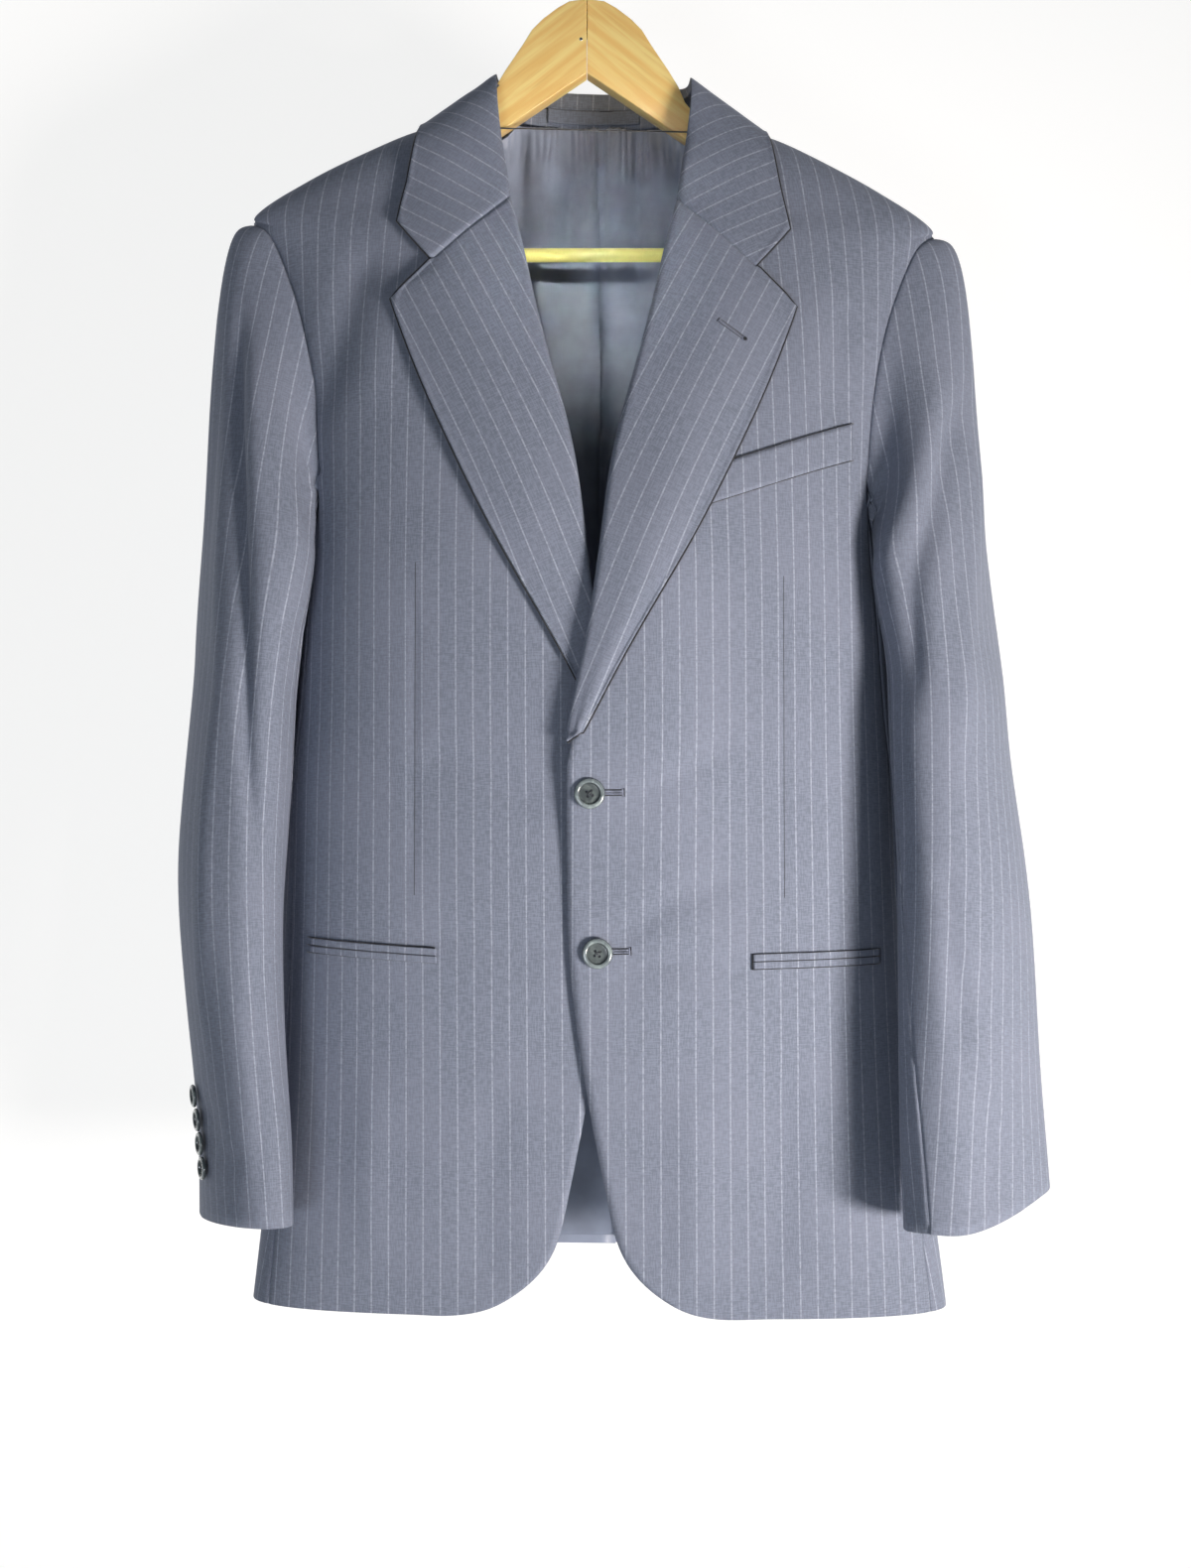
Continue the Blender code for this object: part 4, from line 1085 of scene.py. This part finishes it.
def gathered(piece):
    """Hangs the lining in soft folds from the gathers under its neck seam."""
    points, ways = points_of(piece.data), normals_of(piece.data)
    across, height = tape(points)
    push = np.zeros(len(points))
    for x, top, bottom, width, depth in LINING_FOLDS:
        lean = x + 0.02 * (top - height) * np.sin(height / 60)
        fall = ramp(height, top, top - 12) * ramp(height, bottom, bottom + 80)
        push += depth * np.exp(-((across - lean) / width) ** 2) * fall
    beyond = across - 1.5 - 0.012 * (470 - height)
    pleat = np.where(beyond > 0, -np.exp(-(beyond / 9) ** 2), 0.35 * np.exp(-(beyond / 6) ** 2))
    push += PLEAT * pleat * ramp(height, -60, 30)
    wander = np.array([noise.noise(Vector((a / 9, h / 60, 0))) for a, h in zip(across, height)])
    fine = np.sin(2 * pi * across / GATHER_PITCH + 4 * wander) * (0.6 + 0.5 * wander)
    push += GATHER * fine * ramp(height, 400, 455)
    push = np.maximum(push + CLEAR * ramp(height, 478, 458), -FURTHEST_BACK)
    put_points(piece.data, points - np.sign(ways[:, 1:2]) * ways * push[:, None] * MM)


class JACKET_OT_lining(bpy.types.Operator):
    """Hang the back lining, the neck facing and the hanging loop"""
    bl_idname = "jacket.lining"
    bl_label = "Lining and neck"

    def execute(self, context):
        worsted, satin = suiting()
        plain = bpy.data.materials["worsted_wool_plain"]
        thickness = context.scene.jacket_lining.thickness
        for side, name in NAMES.items():
            piece = cloth_piece(f"satin_back_{name}", f"lining_back_{name}", (satin, satin),
                                at(40 * side, 0, 44), at(40 * side, 300, 55), levels=4)
            gathered(piece)
            hang_up(piece, thickness)
        for name, material in (("neck_facing", worsted), ("hanging_loop", plain)):
            piece = trim(name, material, 5 * MM)
            hang_up(piece, 0.9 * MM)
            made[piece.name] = piece
        return {"FINISHED"}


# A button's turned outline as (share of radius, share of thickness), from its dish to its back.
BUTTON_PROFILE = ((0.0, 0.05), (0.30, 0.04), (0.54, 0.05), (0.63, 0.08), (0.67, 0.34),
                  (0.71, 0.50), (0.78, 0.56), (0.86, 0.55), (0.93, 0.46), (0.97, 0.32),
                  (0.995, 0.12), (1.0, -0.05), (0.98, -0.22), (0.9, -0.36), (0.74, -0.47),
                  (0.5, -0.5), (0.0, -0.5))
# One thread of a button's cross, from hole to hole, in the same shares.
THREAD_BOW = ((-0.22, -0.1), (-0.2, 0.16), (-0.1, 0.27), (0.0, 0.3), (0.1, 0.27), (0.2, 0.16),
              (0.22, -0.1))
BUTTON_THICK = {"front": 3.2 * MM, "sleeve": 2.6 * MM}
BUTTON_TURNS = {"1": 14, "2": -8, "3": 31, "4": 5}     # degrees that each button sits turned
HOLE_PLACE, HOLE_SIZE = 0.22, 0.085       # of a drilled hole, as shares of the radius


def drilled_button(name, radius, thickness, materials):
    """A turned four-hole button at the origin, its face along +Z."""
    shape = bmesh.new()
    turned(shape, [(r * radius, h * thickness) for r, h in BUTTON_PROFILE], 48, Matrix())
    blank = new_object(name, smooth_mesh(name, shape), materials)
    drills = bmesh.new()
    for k in range(4):
        spot = Matrix.Rotation(k * pi / 2 + pi / 4, 4, "Z") @ Vector((radius * HOLE_PLACE, 0, 0))
        bmesh.ops.create_cone(drills, cap_ends=True, segments=16, radius1=radius * HOLE_SIZE,
                              radius2=radius * HOLE_SIZE, depth=thickness * 3,
                              matrix=Matrix.Translation(spot))
    drill = new_object("drill", smooth_mesh("drill", drills), materials)
    cut = blank.modifiers.new("holes", "BOOLEAN")
    cut.operation = "DIFFERENCE"
    cut.object = drill
    mesh_data = baked(blank)
    mesh_data.set_sharp_from_angle(angle=radians(40))
    for face in mesh_data.polygons:      # the raised rim: paler polished horn and a painted highlight
        if 0.70 < face.center.xy.length / radius < 0.96 and face.center.z > 0:
            face.material_index = 1
    bpy.data.objects.remove(drill)
    bpy.data.objects.remove(blank)
    return mesh_data


def button_frame(name):
    """Place, facing and radius of a button, from the flat disc that the frame holds."""
    points = points_of(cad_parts[name].data)
    middle = (points.max(0) + points.min(0)) / 2
    axis = np.linalg.svd(points - points.mean(0))[2][2]
    outward = Vector(axis) * (1 if axis[1] < 0 else -1)
    if abs(axis[1]) < 0.3 and "sleeve" in name:
        outward = Vector(axis) * (1 if axis[0] * middle[0] > 0 else -1)
    radius = np.linalg.norm(points - middle, axis=1).max()
    return Vector(middle), outward, radius


class JACKET_OT_buttons(bpy.types.Operator):
    """Turn the horn buttons and sew them on"""
    bl_idname = "jacket.buttons"
    bl_label = "Buttons"

    def execute(self, context):
        # The rim's copy, 2.6 times as bright with a fuller coat, is partly paler polished horn and
        # partly painted highlight.
        horn = (horn_material("polished_horn", context.scene.jacket_buttons),
                horn_material("polished_horn_rim", context.scene.jacket_buttons, 2.6, 0.8))
        suiting()
        blanks = {}
        for name in sorted(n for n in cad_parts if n.startswith("button")):
            middle, outward, radius = button_frame(name)
            kind = "front" if "front" in name else "sleeve"
            thickness = BUTTON_THICK[kind]
            if kind not in blanks:
                blanks[kind] = drilled_button(f"{kind}_blank", radius * 0.985, thickness, horn)
            turn = Matrix.Rotation(radians(BUTTON_TURNS[name[-1]]), 4, "Z")
            turn = facing(middle, outward) @ turn
            mesh_data = blanks[kind].copy()
            mesh_data.transform(turn)
            piece = new_object(f"horn_{name}", mesh_data, [])
            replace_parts(piece, name)
            fixed(piece)
            thread = bmesh.new()
            for k in range(2):
                cross = Matrix.Rotation(pi / 4 + k * pi / 2, 4, "Z")
                swept(thread, [(turn @ cross @ Vector((x * radius, 0, h * thickness)), outward)
                               for x, h in THREAD_BOW], 0.05 * radius, 0.05 * radius)
            laid(f"thread_{name}", thread, bpy.data.materials["navy_thread"])
        for blank in blanks.values():
            bpy.data.meshes.remove(blank)
        return {"FINISHED"}


def buttonhole(name, surface, start, end, materials, size=1.0, eyelet=False):
    """A worked buttonhole: two purled edges between near-black cords of painted shade for the slit
    and the grooves, with a bar tack at the end; an eyelet's hole is painted shade too.
    """
    shape = bmesh.new()
    way = (Vector(end) - Vector(start)).normalized()
    beside = Vector((-way.y, way.x))
    # The slit is a near-black cord of painted shade.
    swept(shape, surface.route([start, end], 0.05, 1.5), 0.3 * MM, 0.2 * MM, 1)
    for side in (-1, 1):
        for off, wide, thick, kind in ((0.75, 1.3, 0.5, 0), (1.75, 0.8, 0.6, 1)):
            offset = beside * side * off * size
            ends = [tuple(Vector(p) + offset) for p in (start, end)]
            swept(shape, surface.route(ends, 0.05, 1.5), wide * size * MM, thick * MM, kind)
    for along, reach, wide, thick, kind in ((0, 2.5, 1.3, 1.0, 0), (1.0, 2.6, 0.8, 0.6, 1)):
        middle = Vector(end) + way * along
        bar = [tuple(middle + beside * t * size) for t in (-reach, reach)]
        swept(shape, surface.route(bar, 0.1, 1.0), wide * size * MM, thick * MM, kind)
    if eyelet:
        place, normal = surface.under(*(Vector(start) - way * 0.6), 0.1)
        turned(shape, [(1.1 * MM, -0.3 * MM), (1.15 * MM, 0.3 * MM), (1.6 * MM, 0.5 * MM),
                       (2.0 * MM, 0.3 * MM), (2.1 * MM, -0.3 * MM)], 20, facing(place, normal))
        turned(shape, [(0.0, 0.7 * MM), (1.3 * MM, 0.6 * MM)], 16, facing(place, normal))
        # The eyelet's middle takes the near-black painted shade.
        for face in shape.faces:
            if (face.calc_center_median() - place).length < 1.25 * MM:
                face.material_index = 1
    fixed(new_object(name, smooth_mesh(name, shape), materials))


def outlined(name, surface, lines, material):
    """Near-black cords of painted shade along the seams round a pocket: each a line of places and
    how many millimetres wide.
    """
    shape = bmesh.new()
    for places, wide in lines:
        swept(shape, surface.route(places, 0.9, 4.0), wide * MM, 2.1 * MM)
    laid(name, shape, material)


# Of the welt and the pair of jets: inner and outer end, foot of the inner end, rise per length
# and height, in millimetres.
WELT = (68.0, 171.0, 178.6, 0.377, 24.0)
JETS = (102.0, 188.0, -117.0, 0.03, 9.4)
DARTS = {-1: ((-115, 141), (-115.6, -74)), 1: ((123, 137), (123.4, -71))}     # top and foot


class JACKET_OT_stitching(bpy.types.Operator):
    """Work the buttonholes, darts and tacks"""
    bl_idname = "jacket.stitching"
    bl_label = "Buttonholes, darts and tacks"

    def execute(self, context):
        suiting()
        twist = bpy.data.materials["silk_twist"]
        # The near-black twist that paints the shade of grooves, slits and seams.
        groove = bpy.data.materials["groove_wool"]
        front = {side: Surface(made[f"cloth_front_{name}"]) for side, name in NAMES.items()}
        lapel = Surface(made["cloth_lapel_left"])
        buttonhole("buttonhole_upper", front[1], (3, -5.5), (18.6, -5.0), (twist, groove))
        buttonhole("buttonhole_lower", front[1], (6, -107), (23, -106.4), (twist, groove))
        buttonhole("buttonhole_lapel", lapel, (97.5, 290.5), (81.5, 302), (twist, groove), 0.6,
                   True)
        # Each dart's seam line is a near-black cord of painted shade.
        for side, ends in DARTS.items():
            shape = bmesh.new()
            swept(shape, front[side].route(ends, -0.05, 5.0), 0.55 * MM, 0.25 * MM)
            laid(f"dart_{NAMES[side]}", shape, groove)
        inner, outer, foot, rise, deep = WELT
        low, high = (foot + rise * (across - inner) for across in (inner + 6, outer))
        # Painted shade: near-black cords along the welt's lower and upper seams.
        outlined("welt_seam", front[1], [
            ([(inner + 6, low - 0.2), (outer, high - 0.2)], 0.7),
            ([(inner + 20, low + 14 * rise + deep + 0.3), (outer, high + deep + 0.3)], 0.8)],
            groove)
        inner, outer, foot, rise, deep = JETS
        # Painted shade: near-black cords along each pair of jets' seams and inner end.
        for side, name in NAMES.items():
            sag = rise * (outer - inner)
            lines = [([(side * inner, foot + up), (side * outer, foot + up + sag)], wide)
                     for up, wide in ((-0.2, 0.7), (deep / 2, 0.9), (deep + 0.2, 0.6))]
            lines.append(([(side * inner, foot - 0.3), (side * inner, foot + deep + 0.3)], 0.7))
            outlined(f"jet_seams_{name}", front[side], lines, groove)
        return {"FINISHED"}


PIN_HEIGHT = -104.0      # of the pin's head under the rail seat
GRAIN_SLOPE = radians(-38)      # of the grain in the left arm, which follows the arm


class JACKET_OT_hanger(bpy.types.Operator):
    """Finish the hanger's arms, bar and hook"""
    bl_idname = "jacket.hanger"
    bl_label = "Hanger"

    def execute(self, context):
        settings = context.scene.jacket_hanger
        for side, name in NAMES.items():
            wood = wood_material(f"lacquered_maple_{name}", settings.wood, settings.grain,
                                 GRAIN_SLOPE * side)
            shape = copied_shape(f"hanger_arm_{name}")
            bmesh.ops.dissolve_limit(shape, angle_limit=radians(1), verts=shape.verts[:],
                                     edges=shape.edges[:])
            arm = new_object(f"maple_arm_{name}", smooth_mesh(f"maple_arm_{name}", shape), [wood])
            eased = arm.modifiers.new("eased_edges", "BEVEL")
            eased.width = settings.easing
            eased.segments = 3
            eased.limit_method = "ANGLE"
            eased.angle_limit = radians(40)
            eased.harden_normals = True
            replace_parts(arm, f"hanger_arm_{name}")
            fixed(arm)
        low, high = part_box("trouser_bar")
        radius = (high.z - low.z) / 2
        half = (high.x - low.x) / 2
        lacquer = wood_material("lacquered_beech", settings.bar,
                                [c * 0.93 for c in settings.bar], 0)
        shape = bmesh.new()
        end = [(0, half), (radius - 1.2 * MM, half), (radius - 0.3 * MM, half - 0.4 * MM),
               (radius, half - 1.2 * MM)]
        turned(shape, end + [(radius, 0)] + [(r, -h) for r, h in reversed(end)], 40,
               facing((low + high) / 2, (1, 0, 0)))
        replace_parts(laid("beech_bar", shape, lacquer), "trouser_bar")
        steel = steel_material("plated_steel_wire", settings.steel)
        shape = copied_shape("hanger_hook")
        bmesh.ops.join_triangles(shape, faces=shape.faces[:], angle_face_threshold=radians(40),
                                 angle_shape_threshold=radians(40))
        hook = new_object("wire_hook", smooth_mesh("wire_hook", shape), [steel])
        rounded(hook, 1)
        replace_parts(hook, "hanger_hook")
        fixed(hook)
        shape = bmesh.new()
        arm_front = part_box("hanger_arm_left")[0].y
        turned(shape, [(0, 0.5 * MM), (0.7 * MM, 0.42 * MM), (1.1 * MM, 0.2 * MM),
                       (1.3 * MM, -0.2 * MM), (0, -0.6 * MM)], 24,
               facing(Vector((high.x - half - 4 * MM, arm_front, PIN_HEIGHT * MM)), (0, -1, 0)))
        laid("arm_pin", shape, steel)
        return {"FINISHED"}


# ---------------------------------------------------------------- stage

def area_light(name, subject, way, size, power, colour="#FFFFFF", spread=180, aim=(0, 0, 0)):
    """A round lamp that stands some way from its subject and looks at it, or just beside it."""
    place = subject + Vector(way)
    lamp = bpy.data.lights.new(name, "AREA")
    lamp.spread = radians(spread)
    lamp.shape = "DISK"
    lamp.size = size
    lamp.energy = power
    lamp.color = linear(colour)
    light = bpy.data.objects.new(name, lamp)
    light.location = place
    look = subject + Vector(aim) - place
    light.rotation_euler = look.to_track_quat("-Z", "Y").to_euler()
    bpy.context.scene.collection.objects.link(light)


def stage_plane(name, corners, material):
    shape = bmesh.new()
    shape.faces.new([shape.verts.new(c) for c in corners])
    mesh_data = bpy.data.meshes.new(name)
    shape.to_mesh(mesh_data)
    shape.free()
    plane = new_object(name, mesh_data, [material])
    return plane


class JACKET_OT_stage(bpy.types.Operator):
    """Set the wall, floor, lights and camera"""
    bl_idname = "jacket.stage"
    bl_label = "Stage"

    def execute(self, context):
        scene = context.scene
        settings = scene.jacket_stage
        back = CAD_HIGH.y + settings.wall_gap
        ground = CAD_LOW.z - settings.floor_gap
        wall = stage_plane("wall", [(-3, back, ground), (3, back, ground), (3, back, 2.2),
                                    (-3, back, 2.2)],
                           paint_material("backdrop_paint", settings.wall, settings.wall_glow,
                                          0.3))
        wall.visible_shadow = False
        stage_plane("floor", [(-3, back - 4, ground), (3, back - 4, ground), (3, back, ground),
                              (-3, back, ground)], paint_material("floor_paint", settings.wall, 0))
        world = bpy.data.worlds.new("studio")
        world.use_nodes = True
        sky = world.node_tree.nodes["Background"]
        sky.inputs[0].default_value = rgba(linear("#F4FAFF"))
        sky.inputs[1].default_value = settings.room_light
        scene.world = world
        waist = Vector((CENTRE, 0.0, WAIST.z))
        area_light("window", waist, (1.45, -1.45, -0.7), 0.7, settings.window_power, "#FFF6F0",
                   52, (0.06, 0, -0.1))
        area_light("fill", waist, (-0.6, -2.1, -0.5), 0.5, settings.fill_power, "#EEF4FF")
        area_light("behind", waist, (0.6, 2.2, -0.2), 1.8, settings.back_power)
        area_light("neck_lamp", centre_of("trouser_bar"), (0.05, -2.3, 0.1), 0.1,
                   settings.neck_power, spread=5)
        camera_data = bpy.data.cameras.new("camera")
        camera_data.sensor_width = 36.0
        camera_data.lens = camera_data.sensor_width / 2 / tan(settings.view_angle / 2)
        camera = bpy.data.objects.new("camera", camera_data)
        camera.location = (settings.camera_across, -settings.distance, WAIST.z)
        camera.rotation_euler = (pi / 2, 0, 0)
        scene.collection.objects.link(camera)
        scene.camera = camera
        scene.view_settings.view_transform = "Standard"
        return {"FINISHED"}


# ---------------------------------------------------------------- panel and run

STEPS = (JACKET_OT_body, JACKET_OT_sleeves, JACKET_OT_collar, JACKET_OT_sewing,
         JACKET_OT_pockets, JACKET_OT_lining, JACKET_OT_buttons, JACKET_OT_stitching,
         JACKET_OT_hanger, JACKET_OT_stage)
SETTINGS = {"jacket_cloth": ClothSettings, "jacket_lining": LiningSettings,
            "jacket_buttons": ButtonSettings, "jacket_hanger": HangerSettings,
            "jacket_stage": StageSettings}


class JACKET_PT_panel(bpy.types.Panel):
    """The jacket's sizes, colours and making steps"""
    bl_idname = "JACKET_PT_panel"
    bl_label = "Suit jacket"
    bl_space_type = "VIEW_3D"
    bl_region_type = "UI"
    bl_category = "Jacket"

    def draw(self, context):
        for name, group in SETTINGS.items():
            box = self.layout.box()
            for field in group.__annotations__:
                box.prop(getattr(context.scene, name), field)
        for step in STEPS:
            self.layout.operator(step.bl_idname)


def register():
    for group in SETTINGS.values():
        bpy.utils.register_class(group)
    for name, group in SETTINGS.items():
        setattr(bpy.types.Scene, name, PointerProperty(type=group))
    for step in STEPS:
        bpy.utils.register_class(step)
    bpy.utils.register_class(JACKET_PT_panel)


def unregister():
    bpy.utils.unregister_class(JACKET_PT_panel)
    for step in reversed(STEPS):
        bpy.utils.unregister_class(step)
    for name in SETTINGS:
        delattr(bpy.types.Scene, name)
    for group in SETTINGS.values():
        bpy.utils.unregister_class(group)


def main():
    register()
    for step in STEPS:
        group, action = step.bl_idname.split(".")
        getattr(getattr(bpy.ops, group), action)()


if __name__ == "__main__":
    main()
